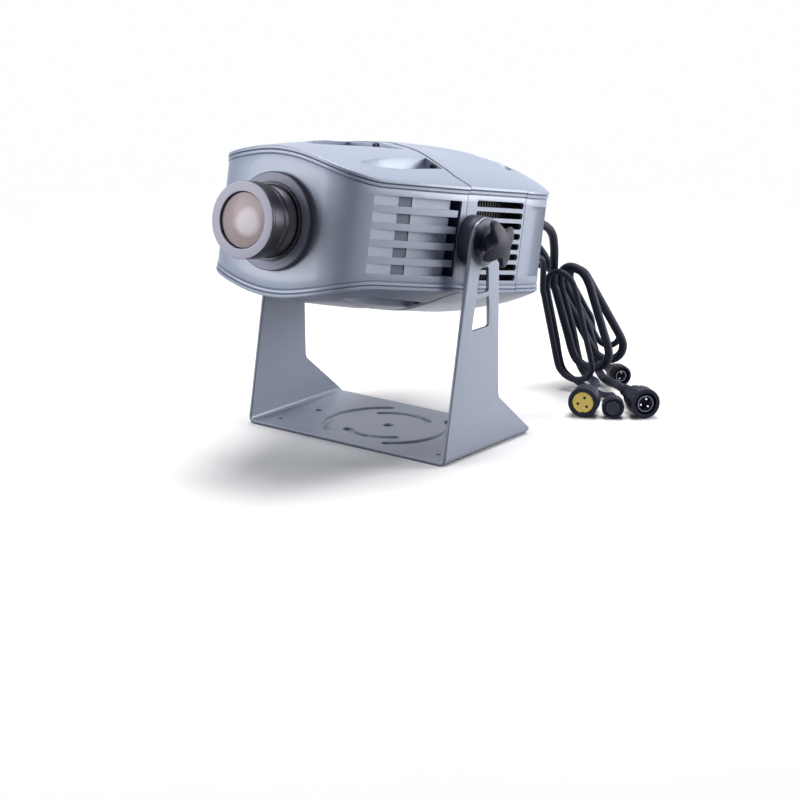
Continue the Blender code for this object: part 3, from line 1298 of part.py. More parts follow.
def head(pivot):
    """Everything that tilts, in the head's own frame."""
    half_gap = GAP / 2.0
    front = zone("front_zone", pivot, straight(-190.0), seam_curve(FRONT_SEAM, FRONT_SEAM_BOW, -half_gap))
    middle = zone("middle_zone", pivot, seam_curve(FRONT_SEAM, FRONT_SEAM_BOW, half_gap),
                  seam_curve(REAR_SEAM, REAR_SEAM_BOW, -half_gap))
    rear = zone("rear_zone", pivot, seam_curve(REAR_SEAM, REAR_SEAM_BOW, half_gap), straight(170.0))
    front_housing(pivot, front)
    middle_housing(pivot, middle)
    rear_cover(pivot, rear)
    seam_gasket("front_seam_gasket", pivot, FRONT_SEAM, FRONT_SEAM_BOW, black_rubber())
    seam_gasket("rear_seam_gasket", pivot, REAR_SEAM, REAR_SEAM_BOW, black_rubber())
    pivot_boss("pivot_boss_right", pivot, 1.0)
    pivot_boss("pivot_boss_left", pivot, -1.0)
    lens_flange(pivot)
    lens_lock_ring(pivot)
    lens_barrel(pivot)
    lens_front_ring(pivot)
    objective_lenses(pivot)
    heat_sink(pivot)
    emitter(pivot)
    condenser(pivot)
    gobo_carrier(pivot)
    gobo_ring_gear(pivot)
    gobo_disc(pivot)
    gobo_drive(pivot)
    fan_frame(pivot)
    fan_rotor(pivot)
    electronics(pivot)
    display_window(pivot)
    menu_buttons(pivot)
    for spec in GLANDS:
        gland(pivot, *spec)


def main():
    global PARTS, CUTTERS
    clear_scene()
    PARTS = new_collection("snowflake_projector")
    CUTTERS = new_collection("cutters")
    pivot = bpy.data.objects.new("head_pivot", None)
    PARTS.objects.link(pivot)
    pivot.location = (0.0, 0.0, PIVOT_HEIGHT * MM)
    pivot.rotation_euler = (math.radians(-REST_TILT), 0.0, 0.0)
    bpy.context.view_layer.update()
    yoke_bracket()
    for side, label in ((1.0, "right"), (-1.0, "left")):
        star_knob("star_knob_" + label, side, math.radians(20.0))
        knob_stud("knob_stud_" + label, side)
    head(pivot)
    for name in CORD_PLANS:
        connector(name, black_plastic())
    cords()


if __name__ == "__main__":
    main()
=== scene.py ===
"""Looks of an outdoor snowflake projector on its U-shaped floor bracket.

Sizes are millimetres until a mesh is placed, which turns them into metres in the row frame. The
tilting head has a frame of its own: its origin is the tilt axis, and its lens looks towards -Y.
"""
from __future__ import annotations

import logging
import math
from dataclasses import dataclass, field
from enum import Enum

import bmesh
import bpy
import numpy as np
from mathutils import Matrix, Vector

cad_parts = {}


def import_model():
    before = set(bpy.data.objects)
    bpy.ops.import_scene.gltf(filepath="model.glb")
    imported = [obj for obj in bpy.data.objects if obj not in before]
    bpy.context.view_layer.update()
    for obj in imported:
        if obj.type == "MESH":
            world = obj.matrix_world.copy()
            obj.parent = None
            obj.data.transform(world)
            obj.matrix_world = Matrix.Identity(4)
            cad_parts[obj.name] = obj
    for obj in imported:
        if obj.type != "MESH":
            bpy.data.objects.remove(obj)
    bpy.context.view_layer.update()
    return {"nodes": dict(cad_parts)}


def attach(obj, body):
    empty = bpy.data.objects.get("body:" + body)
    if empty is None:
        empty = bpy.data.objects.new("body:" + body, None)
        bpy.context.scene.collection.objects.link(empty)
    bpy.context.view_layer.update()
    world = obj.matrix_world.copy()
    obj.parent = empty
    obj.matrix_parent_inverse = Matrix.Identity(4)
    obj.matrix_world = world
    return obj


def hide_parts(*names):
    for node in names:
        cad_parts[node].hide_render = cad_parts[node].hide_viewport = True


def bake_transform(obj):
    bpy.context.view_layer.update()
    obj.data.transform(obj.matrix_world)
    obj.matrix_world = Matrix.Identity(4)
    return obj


log = logging.getLogger("snowflake_projector")

# metres in a millimetre
MM = 0.001
# clearance between pieces that meet
GAP = 0.3
# height of the tilt axis, and the head's tilt as it stands, in radians
PIVOT_HEIGHT = 199.0
REST_TILT = math.radians(10.0)
# half widths of the housing and of the bracket, and the rear panel's station
HALF_WIDTH = 99.0
BRACKET_HALF = 115.0
REAR_FACE = 147.0
# what a scoop's floor starts above the dome, and what its cutter stands above it
SCOOP_LIP = 0.8
SCOOP_SKY = 16.0
# socket screw: height of the head, socket as a share of the radius, its depth, and the sunk part
SCREW_HEAD = 2.2
SCREW_SOCKET = 0.55
SCREW_SOCKET_DEPTH = 1.6
SCREW_SINK = 1.0
# angle from which an edge stays sharp, and distances in metres at which points are merged
CREASE = 38.0
SKIN_MERGE = 1e-7
NODE_MERGE = 1e-6
# where cutters and seam lines end beside the housing
OUTSIDE = 118.0
SEAM_REACH = HALF_WIDTH + 8.0
Colour = tuple[float, float, float]
Place = tuple[float, float, float]


class Space(Enum):
    """Frame that the points of a piece are given in."""

    FLOOR = "floor"
    HEAD = "head"


class Axis(Enum):
    """Axis that a turned piece or a prism runs along, as a column of its points."""

    X = 0
    Y = 1
    Z = 2


class Body(Enum):
    """Bodies of the moving model that pieces ride on."""

    BRACKET = "bracket"
    HEAD = "head"
    OBJECTIVE = "objective"
    LENS_TURN = "lens_turn"
    LOCK_RING = "lock_ring"


# Numbers into surfaces


def to_world(points: np.ndarray, space: Space) -> np.ndarray:
    """Place points in the row frame.

    Args:
        points: rows of x, y, z in millimetres.
        space: frame that they are given in.

    Returns:
        Rows in metres. The head's frame is turned about X by the rest tilt and lifted to the
        pivot: y' = y cos t + z sin t, z' = h - y sin t + z cos t.
    """
    if space is Space.FLOOR:
        return points * MM
    cos, sin = math.cos(REST_TILT), math.sin(REST_TILT)
    x, y, z = points.T
    return np.column_stack([x, y * cos + z * sin, PIVOT_HEIGHT - y * sin + z * cos]) * MM


def ease(share: np.ndarray | float) -> np.ndarray | float:
    """Smooth step 3 s^2 - 2 s^3 of a share from 0 to 1."""
    return share * share * (3.0 - 2.0 * share)


def catmull(points: np.ndarray, places: np.ndarray) -> np.ndarray:
    """Points of a Catmull-Rom curve.

    Args:
        points: control points, one to a row, of any width.
        places: where on the curve, counted in control points.

    Returns:
        0.5 (2 b + (c - a) t + (2 a - 5 b + 4 c - d) t^2 + (3 b - a - 3 c + d) t^3) for the four
        control points a, b, c, d about each place and the share t between b and c.
    """
    points = np.asarray(points, float)
    padded = np.concatenate([2 * points[:1] - points[1:2], points, 2 * points[-1:] - points[-2:-1]])
    index = np.minimum(places.astype(int), len(points) - 2)
    t = (places - index).reshape((-1,) + (1,) * (points.ndim - 1))
    a, b, c, d = (padded[index + k] for k in range(4))
    return 0.5 * (2 * b + (c - a) * t + (2 * a - 5 * b + 4 * c - d) * t ** 2
                  + (3 * b - a - 3 * c + d) * t ** 3)


def even_curve(points: np.ndarray, spacing: float) -> np.ndarray:
    """Evenly spaced points on the Catmull-Rom curve through the given points.

    Args:
        points: control points, one to a row.
        spacing: wanted distance from one point to the next.

    Returns:
        The points, from the first control point to the last one.
    """
    fine = catmull(points, np.linspace(0.0, len(points) - 1.0, 40 * len(points)))
    length = np.r_[0.0, np.cumsum(np.linalg.norm(np.diff(fine, axis=0), axis=1))]
    wanted = np.linspace(0.0, length[-1], max(3, round(length[-1] / spacing)) + 1)
    return np.column_stack([np.interp(wanted, length, column) for column in fine.T])


@dataclass
class Skin:
    """A closed skin: its points in millimetres, its faces, and the number of its finish."""

    points: np.ndarray
    faces: list[list[int]]
    finish: int = 0


def skin(grid: np.ndarray, close_along: bool = False, caps: bool = True, finish: int = 0) -> Skin:
    """Quads over a grid of points whose last column joins its first.

    Args:
        grid: rows x columns x 3; face (i, j) has the corners (i, j), (i, j+1), (i+1, j+1), (i+1, j).
        close_along: the last row joins the first, as on a ring.
        caps: flat faces close the first and the last row.
        finish: number of the finish.

    Returns:
        The closed skin.
    """
    rows, columns = grid.shape[:2]
    index = np.arange(rows * columns).reshape(rows, columns)
    ring = np.vstack([index, index[:1]]) if close_along else index
    ring = np.hstack([ring, ring[:, :1]])
    quads = np.stack([ring[:-1, :-1], ring[:-1, 1:], ring[1:, 1:], ring[1:, :-1]], axis=-1)
    faces = quads.reshape(-1, 4).tolist()
    if caps and not close_along:
        faces += [index[0, ::-1].tolist(), index[-1].tolist()]
    return Skin(grid.reshape(-1, 3), faces, finish)


def around(steps: int, start: float = 0.0) -> np.ndarray:
    """Angles once round a circle, in radians."""
    return np.linspace(start, start + 2.0 * math.pi, steps, endpoint=False)


def hexagon(angle: np.ndarray, corner: float) -> np.ndarray:
    """Radius of a hexagon of that corner radius: c cos 30 / cos(a mod 60 - 30)."""
    part = np.mod(angle, math.pi / 3.0) - math.pi / 6.0
    return corner * math.cos(math.pi / 6.0) / np.cos(part)


def on_axis(across: np.ndarray, up: np.ndarray, along: np.ndarray, axis: Axis) -> np.ndarray:
    """Stack coordinates so that the third one runs along the axis."""
    order = {Axis.X: (along, across, up), Axis.Y: (across, along, up), Axis.Z: (across, up, along)}
    return np.stack(order[axis], axis=-1)


def turned(profile: list[tuple[float, float]], steps: int = 72, axis: Axis = Axis.Y,
           centre: Place = (0.0, 0.0, 0.0), ring: bool = False,
           limit: np.ndarray | None = None, finish: int = 0) -> Skin:
    """Surface of revolution.

    Args:
        profile: (radius, distance along the axis) points.
        steps: points round the axis.
        axis: axis that it turns about.
        centre: place of the profile's origin.
        ring: the profile is a closed loop, so the skin has no ends.
        limit: greatest radius at each angle, which cuts flats such as a hexagon's.
        finish: number of the finish.

    Returns:
        Points r_i (cos a_j, sin a_j) across the axis and d_i along it, with r_i no more than the
        limit at a_j.
    """
    angle = around(steps)
    radius, along = np.array(profile, float).T[:, :, None]
    radius = radius * np.ones_like(angle)
    if limit is not None:
        radius = np.minimum(radius, limit)
    grid = on_axis(radius * np.cos(angle), radius * np.sin(angle), along * np.ones_like(angle), axis)
    return skin(grid + np.array(centre), close_along=ring, caps=False, finish=finish)


def rod(radius: float, low: float, high: float, steps: int = 72, axis: Axis = Axis.Y,
        centre: Place = (0.0, 0.0, 0.0), finish: int = 0) -> Skin:
    """Round rod along an axis."""
    profile = [(0.0, low), (radius, low), (radius, high), (0.0, high)]
    return turned(profile, steps, axis, centre, finish=finish)


def level_ring(outline: np.ndarray, level: float, axis: Axis = Axis.Y) -> np.ndarray:
    """Outline as one ring of points at that level along an axis."""
    return on_axis(outline[:, 0], outline[:, 1], np.full(len(outline), level), axis)


def prism(outline: np.ndarray | list, axis: Axis, low: float, high: float, finish: int = 0) -> Skin:
    """Outline carried straight along an axis, with flat ends."""
    flat = np.array(outline, float)
    return skin(np.stack([level_ring(flat, level, axis) for level in (low, high)]), finish=finish)


def block(centre: Place, size: tuple[float, float, float], finish: int = 0) -> Skin:
    """Rectangular block.

    Args:
        centre: its middle.
        size: its full sizes along X, Y and Z.
        finish: number of the finish.

    Returns:
        The closed skin.
    """
    (x, y, z), (a, b, c) = centre, (s / 2.0 for s in size)
    outline = [(x - a, y - b), (x + a, y - b), (x + a, y + b), (x - a, y + b)]
    return prism(outline, Axis.Z, z - c, z + c, finish)


def rounded_box(half: tuple[float, float], radius: float, centre: tuple[float, float] = (0.0, 0.0),
                count: int = 8) -> np.ndarray:
    """Rectangle with round corners: corner centres plus r (cos a, sin a), a quarter turn at each.

    Args:
        half: half sizes.
        radius: corner radius r.
        centre: its middle.
        count: points on each corner.

    Returns:
        The outline, one point to a row.
    """
    quarter = np.linspace(0.0, math.pi / 2.0, count)
    angle = np.concatenate([quarter + k * math.pi / 2.0 for k in range(4)])
    sign = np.repeat(np.array([(1, 1), (-1, 1), (-1, -1), (1, -1)]), count, axis=0)
    corner = sign * (np.array(half) - radius) + np.array(centre)
    return corner + radius * np.column_stack([np.cos(angle), np.sin(angle)])


def mirrored(piece: Skin, axis: Axis) -> Skin:
    """The same skin on the other side of the plane across an axis.

    Args:
        piece: the skin.
        axis: axis whose coordinate changes its sign.

    Returns:
        The mirror image.
    """
    sign = np.ones(3)
    sign[axis.value] = -1.0
    return Skin(piece.points * sign, piece.faces, piece.finish)


def merge(mesh: bpy.types.Mesh, distance: float) -> None:
    """Merge the doubles of a mesh and turn its faces outward.

    Args:
        mesh: mesh that is changed.
        distance: points nearer than this become one, in metres.
    """
    work = bmesh.new()
    work.from_mesh(mesh)
    bmesh.ops.remove_doubles(work, verts=work.verts, dist=distance)
    bmesh.ops.recalc_face_normals(work, faces=work.faces)
    work.to_mesh(mesh)
    work.free()


def new_object(name: str, skins: list[Skin], space: Space, finishes: list[Finish],
               crease: float = CREASE) -> bpy.types.Object:
    """Make one object of closed skins.

    Args:
        name: name of the piece.
        skins: its skins.
        space: frame of their points.
        finishes: finishes that the skins number.
        crease: edges sharper than this many degrees stay sharp.

    Returns:
        The object at the origin, with its doubles merged and its faces outward.
    """
    faces: list[list[int]] = []
    marks: list[int] = []
    start = 0
    for part in skins:
        faces += [[corner + start for corner in face] for face in part.faces]
        marks += [part.finish] * len(part.faces)
        start += len(part.points)
    mesh = bpy.data.meshes.new(name)
    mesh.from_pydata(to_world(np.vstack([part.points for part in skins]), space).tolist(), [], faces)
    mesh.polygons.foreach_set("material_index", marks)
    merge(mesh, SKIN_MERGE)
    for finish in finishes:
        mesh.materials.append(finish.material())
    made = bpy.data.objects.new(name, mesh)
    bpy.context.scene.collection.objects.link(made)
    shade(made, crease)
    return made


def shade(item: bpy.types.Object, crease: float) -> None:
    """Shade smooth, with the sharper edges kept."""
    item.data.shade_smooth()
    item.data.set_sharp_from_angle(angle=math.radians(crease))


def carve_with(item: bpy.types.Object, cutters: list[bpy.types.Object], operation: str) -> None:
    """Cut or intersect an object with others, apply the result and delete them.

    Args:
        item: object that is changed.
        cutters: objects that shape it, one after the other.
        operation: DIFFERENCE or INTERSECT.
    """
    for cutter in cutters:
        step = item.modifiers.new("carve", "BOOLEAN")
        step.object = cutter
        step.operation = operation
        step.solver = "MANIFOLD"
    bpy.context.view_layer.update()
    shaped = item.evaluated_get(bpy.context.evaluated_depsgraph_get())
    mesh = bpy.data.meshes.new_from_object(shaped)
    if len(mesh.polygons) == len(item.data.polygons):
        raise RuntimeError(f"{item.name}: carving changed nothing")
    item.modifiers.clear()
    for cutter in cutters:
        bpy.data.objects.remove(cutter, do_unlink=True)
    item.data = mesh


def carve(item: bpy.types.Object, tools: list[Skin], operation: str = "DIFFERENCE",
          space: Space = Space.HEAD) -> bpy.types.Object:
    """Cut or intersect an object with skins, one after the other.

    Args:
        item: object that is changed.
        tools: skins that shape it.
        operation: DIFFERENCE or INTERSECT.
        space: frame of the skins' points.

    Returns:
        The same object, shaded anew.
    """
    cutters = [new_object(item.name + "_tool", [tool], space, []) for tool in tools]
    carve_with(item, cutters, operation)
    shade(item, CREASE)
    return item


def finish_piece(item: bpy.types.Object, body: Body | str, slot: str, *nodes: str) -> bpy.types.Object:
    """Hand a piece to its body and hide the CAD nodes that it stands for.

    Args:
        item: the piece.
        body: body that it rides on.
        slot: material slot of the record; not used.
        nodes: CAD nodes that it replaces.

    Returns:
        The same piece.
    """
    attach(item, body.value if isinstance(body, Body) else body)
    if nodes:
        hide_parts(*nodes)
    log.info("%s: %d faces", item.name, len(item.data.polygons))
    return item


# Finishes


class Graph:
    """The nodes of one material, with short calls to add them."""

    def __init__(self, name: str) -> None:
        """Make an empty Principled material of that name.

        Args:
            name: name of the material.
        """
        self.material = bpy.data.materials.new(name)
        self.material.use_nodes = True
        self.tree = self.material.node_tree
        self.shader = self.tree.nodes["Principled BSDF"]
        self.place = self.add("ShaderNodeTexCoord").outputs["Object"]

    def add(self, kind: str, inputs: dict | None = None, **settings: str) -> bpy.types.Node:
        """Add a node and feed it.

        Args:
            kind: type of the node.
            inputs: sockets to link or values to set, by name or number.
            settings: properties of the node.

        Returns:
            The new node.
        """
        node = self.tree.nodes.new(kind)
        for key, value in settings.items():
            setattr(node, key, value)
        for key, value in (inputs or {}).items():
            if isinstance(value, bpy.types.NodeSocket):
                self.tree.links.new(value, node.inputs[key])
            else:
                node.inputs[key].default_value = value
        return node

    def vector(self, operation: str, *inputs: bpy.types.NodeSocket | Place) -> bpy.types.Node:
        """Vector math on the inputs."""
        return self.add("ShaderNodeVectorMath", dict(enumerate(inputs)), operation=operation)

    def number(self, operation: str, *inputs: bpy.types.NodeSocket | float) -> bpy.types.NodeSocket:
        """Plain math on the inputs."""
        return self.add("ShaderNodeMath", dict(enumerate(inputs)), operation=operation).outputs[0]

    def noise(self, scale: float, detail: float = 2.0) -> bpy.types.NodeSocket:
        """Cloudy noise on object coordinates."""
        return self.add("ShaderNodeTexNoise",
                        {"Vector": self.place, "Scale": scale, "Detail": detail}).outputs[0]

    def spread(self, value: bpy.types.NodeSocket, low: float, high: float, first: float = 0.0,
               last: float = 1.0) -> bpy.types.NodeSocket:
        """Map a value from first..last to low..high.

        Args:
            value: output to map.
            low: result at the first value.
            high: result at the last value.
            first: value where the range starts.
            last: value where it ends.

        Returns:
            The mapped output.
        """
        return self.add("ShaderNodeMapRange", {"Value": value, "From Min": first, "From Max": last,
                                               "To Min": low, "To Max": high}).outputs[0]

    def mix(self, share: bpy.types.NodeSocket | float, one: bpy.types.NodeSocket | tuple,
            two: bpy.types.NodeSocket | tuple) -> bpy.types.NodeSocket:
        """Blend two colours.

        Args:
            share: nought for the first, one for the second.
            one: first colour.
            two: second colour.

        Returns:
            The blended colour.
        """
        return self.add("ShaderNodeMix", {0: share, 6: one, 7: two}, data_type="RGBA").outputs[2]

    def bump(self, height: bpy.types.NodeSocket, strength: float, depth: float) -> bpy.types.NodeSocket:
        """Normal raised by a height, whose full range is that many metres deep."""
        return self.add("ShaderNodeBump", {"Strength": strength, "Distance": depth,
                                           "Height": height}).outputs[0]

    def head_place(self) -> bpy.types.NodeSocket:
        """Coordinates in the head's own frame, in metres.

        Returns:
            The output of a Mapping node that undoes the head's place.
        """
        return self.add("ShaderNodeMapping", {
            "Vector": self.place, "Location": (0.0, 0.0, PIVOT_HEIGHT * MM),
            "Rotation": (-REST_TILT, 0.0, 0.0)}, vector_type="TEXTURE").outputs[0]

    def axis_distance(self, middle: Place = (0.0, 0.0, 0.0)) -> bpy.types.NodeSocket:
        """Distance from the line along the lens axis through a point of the head, in metres.

        Args:
            middle: the point, in the head's frame.

        Returns:
            Length of what is left of (place - middle) without its Y.
        """
        moved = self.vector("SUBTRACT", self.head_place(), middle).outputs[0]
        flat = self.vector("MULTIPLY", moved, (1.0, 0.0, 1.0)).outputs[0]
        return self.vector("LENGTH", flat).outputs["Value"]

    def feed(self, socket: str, value: bpy.types.NodeSocket | float) -> None:
        """Link a node's output to the shader, or set its own value.

        Args:
            socket: name of the shader's input.
            value: output to link or number to set.
        """
        if isinstance(value, bpy.types.NodeSocket):
            self.tree.links.new(value, self.shader.inputs[socket])
        else:
            self.shader.inputs[socket].default_value = value


def rgba(colour: Colour, scale: float = 1.0) -> tuple[float, float, float, float]:
    """Colour as four numbers, made lighter or darker by a scale."""
    return (*(min(1.0, c * scale) for c in colour), 1.0)


@dataclass(frozen=True)
class Finish:
    """A finish with a soft mottle in its colour and gloss and a fine relief."""

    name: str
    colour: Colour
    roughness: float
    metallic: float = 0.0
    mottle: float = 0.05
    grain: float = 220.0
    relief: float = 0.12
    relief_grain: float = 1400.0
    relief_depth: float = 0.00006
    coat: float = 0.0
    specular: float = 0.5

    def colours(self, graph: Graph, cloud: bpy.types.NodeSocket) -> bpy.types.NodeSocket:
        """Colour of the surface: two shades that follow the cloud."""
        low, high = 1.0 - self.mottle, 1.0 + self.mottle
        return graph.mix(cloud, rgba(self.colour, low), rgba(self.colour, high))

    def height(self, graph: Graph) -> bpy.types.NodeSocket:
        """Height of the fine relief."""
        return graph.noise(self.relief_grain)

    def material(self) -> bpy.types.Material:
        """The material, made on first use.

        Returns:
            The material of that name.
        """
        found = bpy.data.materials.get(self.name)
        if found:
            return found
        graph = Graph(self.name)
        cloud = graph.noise(self.grain, 3.0)
        graph.feed("Base Color", self.colours(graph, cloud))
        graph.feed("Roughness", graph.spread(cloud, self.roughness - 0.04, self.roughness + 0.04))
        graph.feed("Normal", graph.bump(self.height(graph), self.relief, self.relief_depth))
        graph.feed("Metallic", self.metallic)
        graph.feed("Coat Weight", self.coat)
        graph.feed("Specular IOR Level", self.specular)
        graph.material.diffuse_color = rgba(self.colour)
        return graph.material


@dataclass(frozen=True)
class TurnedFinish(Finish):
    """Lathe-turned metal, with rings round the lens axis."""

    ring_pitch: float = 0.0007

    def height(self, graph: Graph) -> bpy.types.NodeSocket:
        """Height of the tool marks: sin(2 pi r / pitch) about the lens axis."""
        turns = graph.number("MULTIPLY", graph.axis_distance(), 2.0 * math.pi / self.ring_pitch)
        return graph.number("SINE", turns)


@dataclass(frozen=True)
class GlassFinish(Finish):
    """Coated optical glass: warm, with a painted highlight, a pale patch to one side."""

    # painted highlight: its colour, middle, radius, soft edge and stir
    painted_highlight: Colour = (0.56, 0.49, 0.545)
    highlight_place: Place = (0.006, 0.0, -0.001)
    highlight_radius: float = 0.0145
    edge: float = 0.0025
    stir: float = 0.006

    def colours(self, graph: Graph, cloud: bpy.types.NodeSocket) -> bpy.types.NodeSocket:
        """Colour that changes at a soft edge round the painted highlight's middle, stirred by the cloud.

        Args:
            graph: nodes of the material.
            cloud: soft noise.

        Returns:
            The colour.
        """
        away = graph.axis_distance(self.highlight_place)
        stirred = graph.number("MULTIPLY_ADD", cloud, self.stir, away)
        first, last = self.highlight_radius - self.edge, self.highlight_radius + self.edge
        share = graph.spread(stirred, 0.0, 1.0, first, last)
        warm = graph.mix(cloud, rgba(self.colour, 0.85), rgba(self.colour, 1.15))
        return graph.mix(share, rgba(self.painted_highlight), warm)


@dataclass(frozen=True)
class PaneFinish(Finish):
    """Unlit display pane, paler towards its top: painted light."""

    low: float = -0.002
    high: float = 0.02

    def colours(self, graph: Graph, cloud: bpy.types.NodeSocket) -> bpy.types.NodeSocket:
        """Colour that follows the height in the head's frame, paler towards the top as painted light.

        Args:
            graph: nodes of the material.
            cloud: soft noise, which a pane doesn't show.

        Returns:
            The colour.
        """
        split = graph.add("ShaderNodeSeparateXYZ", {0: graph.head_place()}).outputs[2]
        share = graph.spread(split, 0.0, 1.0, self.low, self.high)
        return graph.mix(share, rgba(self.colour, 0.8), rgba(self.colour, 1.15))


PAINT = Finish("satin_blue_grey_paint", (0.25, 0.29, 0.385), 0.4, 0.1, 0.03, 130.0, 0.12, 1700.0,
               0.00005, 0.1)
SHEET_PAINT = Finish("satin_sheet_paint", (0.25, 0.285, 0.37), 0.42, 0.1, 0.035, 90.0, 0.12, 1500.0,
                     0.00005, 0.1)
# grey of the plates in the louvre pockets is painted shade, standing for the shade down in the pockets
POCKET_PAINTED_SHADE = Finish("louvre_pocket_painted_shade", (0.135, 0.16, 0.215), 0.5, 0.0, 0.04, 200.0, 0.12, 1500.0,
                specular=0.3)
# near-black plate on the rear wall of the slot behind the ribs: painted shadow
SHADOW = Finish("slot_end_painted_shadow", (0.012, 0.018, 0.035), 0.6, 0.0, 0.1, 300.0, 0.12, 1500.0,
                specular=0.2)
ANODISED = Finish("black_anodised", (0.016, 0.021, 0.04), 0.34, 0.0, 0.1, 300.0, 0.08, 2600.0,
                  specular=0.3)
# pale colours of the turned front faces are painted reflection; their ring relief is real tool marks
RING_FACE_PAINTED_REFLECTION = TurnedFinish("turned_face_painted_reflection", (0.42, 0.415, 0.52), 0.5, 0.0, 0.05, 260.0, 0.3, 0.0, 0.00003,
                           specular=0.3)
FLANGE_FACE_PAINTED_REFLECTION = TurnedFinish("flange_face_painted_reflection", (0.27, 0.28, 0.37), 0.5, 0.0, 0.05, 260.0, 0.3, 0.0, 0.00003,
                          specular=0.3)
BLACK_PLASTIC = Finish("moulded_black_plastic", (0.017, 0.019, 0.035), 0.42, 0.0, 0.12, 350.0, 0.25,
                       2200.0, 0.00008, specular=0.16)
BOSS_PLASTIC = Finish("moulded_boss_plastic", (0.013, 0.019, 0.036), 0.42, 0.0, 0.12, 350.0, 0.25,
                      2200.0, specular=0.3)
WASHER = Finish("dark_satin_washer", (0.075, 0.078, 0.105), 0.26, 0.75, 0.1, 350.0, 0.15, 2400.0)
RUBBER = Finish("black_cord_rubber", (0.019, 0.0225, 0.041), 0.5, 0.0, 0.15, 500.0, 0.3, 2600.0, 0.0001,
                specular=0.14)
SEAL = Finish("black_seal_rubber", (0.012, 0.013, 0.018), 0.7, 0.0, 0.2, 600.0, 0.3, 3000.0,
              specular=0.3)
NICKEL = Finish("nickel_plate", (0.45, 0.46, 0.5), 0.16, 1.0, 0.04, 300.0, 0.06, 2400.0)
STEEL = Finish("zinc_plated_steel", (0.5, 0.51, 0.54), 0.26, 1.0, 0.08, 400.0, 0.15, 2600.0)
DARK_STEEL = Finish("black_oxide_steel", (0.03, 0.032, 0.04), 0.3, 0.6, 0.15, 500.0, 0.2, 2600.0)
ALUMINIUM = Finish("extruded_aluminium", (0.5, 0.51, 0.53), 0.36, 1.0, 0.06, 250.0, 0.2, 1800.0)
# heat sink darkened with painted shade, so the inside seen through the vents reads dark
SINK = Finish("heat_sink_painted_shade", (0.022, 0.024, 0.032), 0.5, 0.0, 0.1, 250.0, 0.2, 1800.0)
BRASS = Finish("cut_brass", (0.68, 0.52, 0.24), 0.28, 1.0, 0.06, 300.0, 0.15, 2200.0)
ZINC = Finish("zinc_casing", (0.48, 0.49, 0.51), 0.35, 1.0, 0.08, 300.0, 0.15, 2000.0)
GLASS = GlassFinish("coated_front_glass", (0.34, 0.27, 0.28), 0.3, 0.0, 0.04, 70.0, 0.02, 200.0, 0.0001,
                    0.08, specular=0.25)
INNER_GLASS = Finish("clear_inner_glass", (0.75, 0.78, 0.8), 0.06, 0.0, 0.02, 120.0, 0.02, 300.0,
                     0.0001, 1.0)
BOARD = Finish("green_board", (0.02, 0.12, 0.05), 0.4, 0.0, 0.2, 600.0, 0.3, 1500.0)
PHOSPHOR = Finish("yellow_phosphor", (0.8, 0.66, 0.16), 0.5, 0.0, 0.05, 900.0, 0.3, 3000.0)
OVERLAY = Finish("gloss_black_overlay", (0.012, 0.012, 0.017), 0.12, 0.0, 0.2, 300.0, 0.03, 900.0,
                 0.0001, 0.25, specular=0.3)
PANE = PaneFinish("lavender_display_pane", (0.5, 0.49, 0.66), 0.1, 0.0, 0.03, 300.0, 0.02, 900.0,
                  0.0001, 1.0)
BUTTON = Finish("pale_button_plastic", (0.62, 0.63, 0.7), 0.3, 0.0, 0.04, 500.0, 0.1, 2400.0)
YELLOW = Finish("yellow_contact_insert", (0.93, 0.69, 0.16), 0.38, 0.0, 0.06, 500.0, 0.25, 2600.0)
SHROUD = Finish("dull_pin_shroud", (0.2, 0.215, 0.27), 0.35, 0.5, 0.06, 400.0, 0.1, 2400.0)
PIN = Finish("tinned_contact_pin", (0.82, 0.82, 0.84), 0.16, 1.0, 0.03, 700.0, 0.05, 3000.0)
# near-black of the connector's contact holes and key: painted shade
DARK = Finish("contact_hole_painted_shade", (0.006, 0.006, 0.008), 0.8, 0.0, 0.2, 800.0, 0.2, 3000.0)

NODE_FINISHES: dict[str, tuple[Finish, str]] = {
    "yoke_bracket": (SHEET_PAINT, "painted_steel"),
    "front_housing": (PAINT, "painted_casting"), "middle_housing": (PAINT, "painted_casting"),
    "rear_cover": (PAINT, "painted_casting"),
    "star_knob": (BLACK_PLASTIC, ""), "knob_stud": (STEEL, ""), "pivot_boss": (BOSS_PLASTIC, ""),
    "front_seam_gasket": (SEAL, ""), "rear_seam_gasket": (SEAL, ""),
    "lens_": (ANODISED, ""), "objective_front_lens": (GLASS, ""),
    "objective_rear_lens": (INNER_GLASS, ""),
    "heat_sink": (SINK, ""), "led_board": (ALUMINIUM, ""), "led_emitter": (PHOSPHOR, ""),
    "condenser_holder": (ANODISED, ""), "condenser_lens": (INNER_GLASS, ""),
    "gobo_carrier": (ALUMINIUM, ""), "gobo_ring_gear": (BRASS, ""), "gobo_pinion": (BRASS, ""),
    "gobo_disc": (STEEL, ""), "gobo_motor": (ZINC, ""),
    "fan_": (BLACK_PLASTIC, ""), "power_supply": (ALUMINIUM, ""), "display_module": (BLACK_PLASTIC, ""),
    "control_board": (BOARD, ""), "display_window": (OVERLAY, ""), "menu_button": (BUTTON, ""),
    "gland_": (NICKEL, ""), "connector_": (BLACK_PLASTIC, ""), "cord_": (RUBBER, ""),
}


def dress_nodes(nodes: dict[str, bpy.types.Object]) -> None:
    """Give every CAD node the finish whose name it starts with.

    Args:
        nodes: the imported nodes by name.
    """
    for name, item in nodes.items():
        finish = next(made for start, (made, _) in NODE_FINISHES.items() if name.startswith(start))
        item.data.materials.clear()
        item.data.materials.append(finish.material())
    log.info("dressed %d nodes", len(nodes))


# Studio


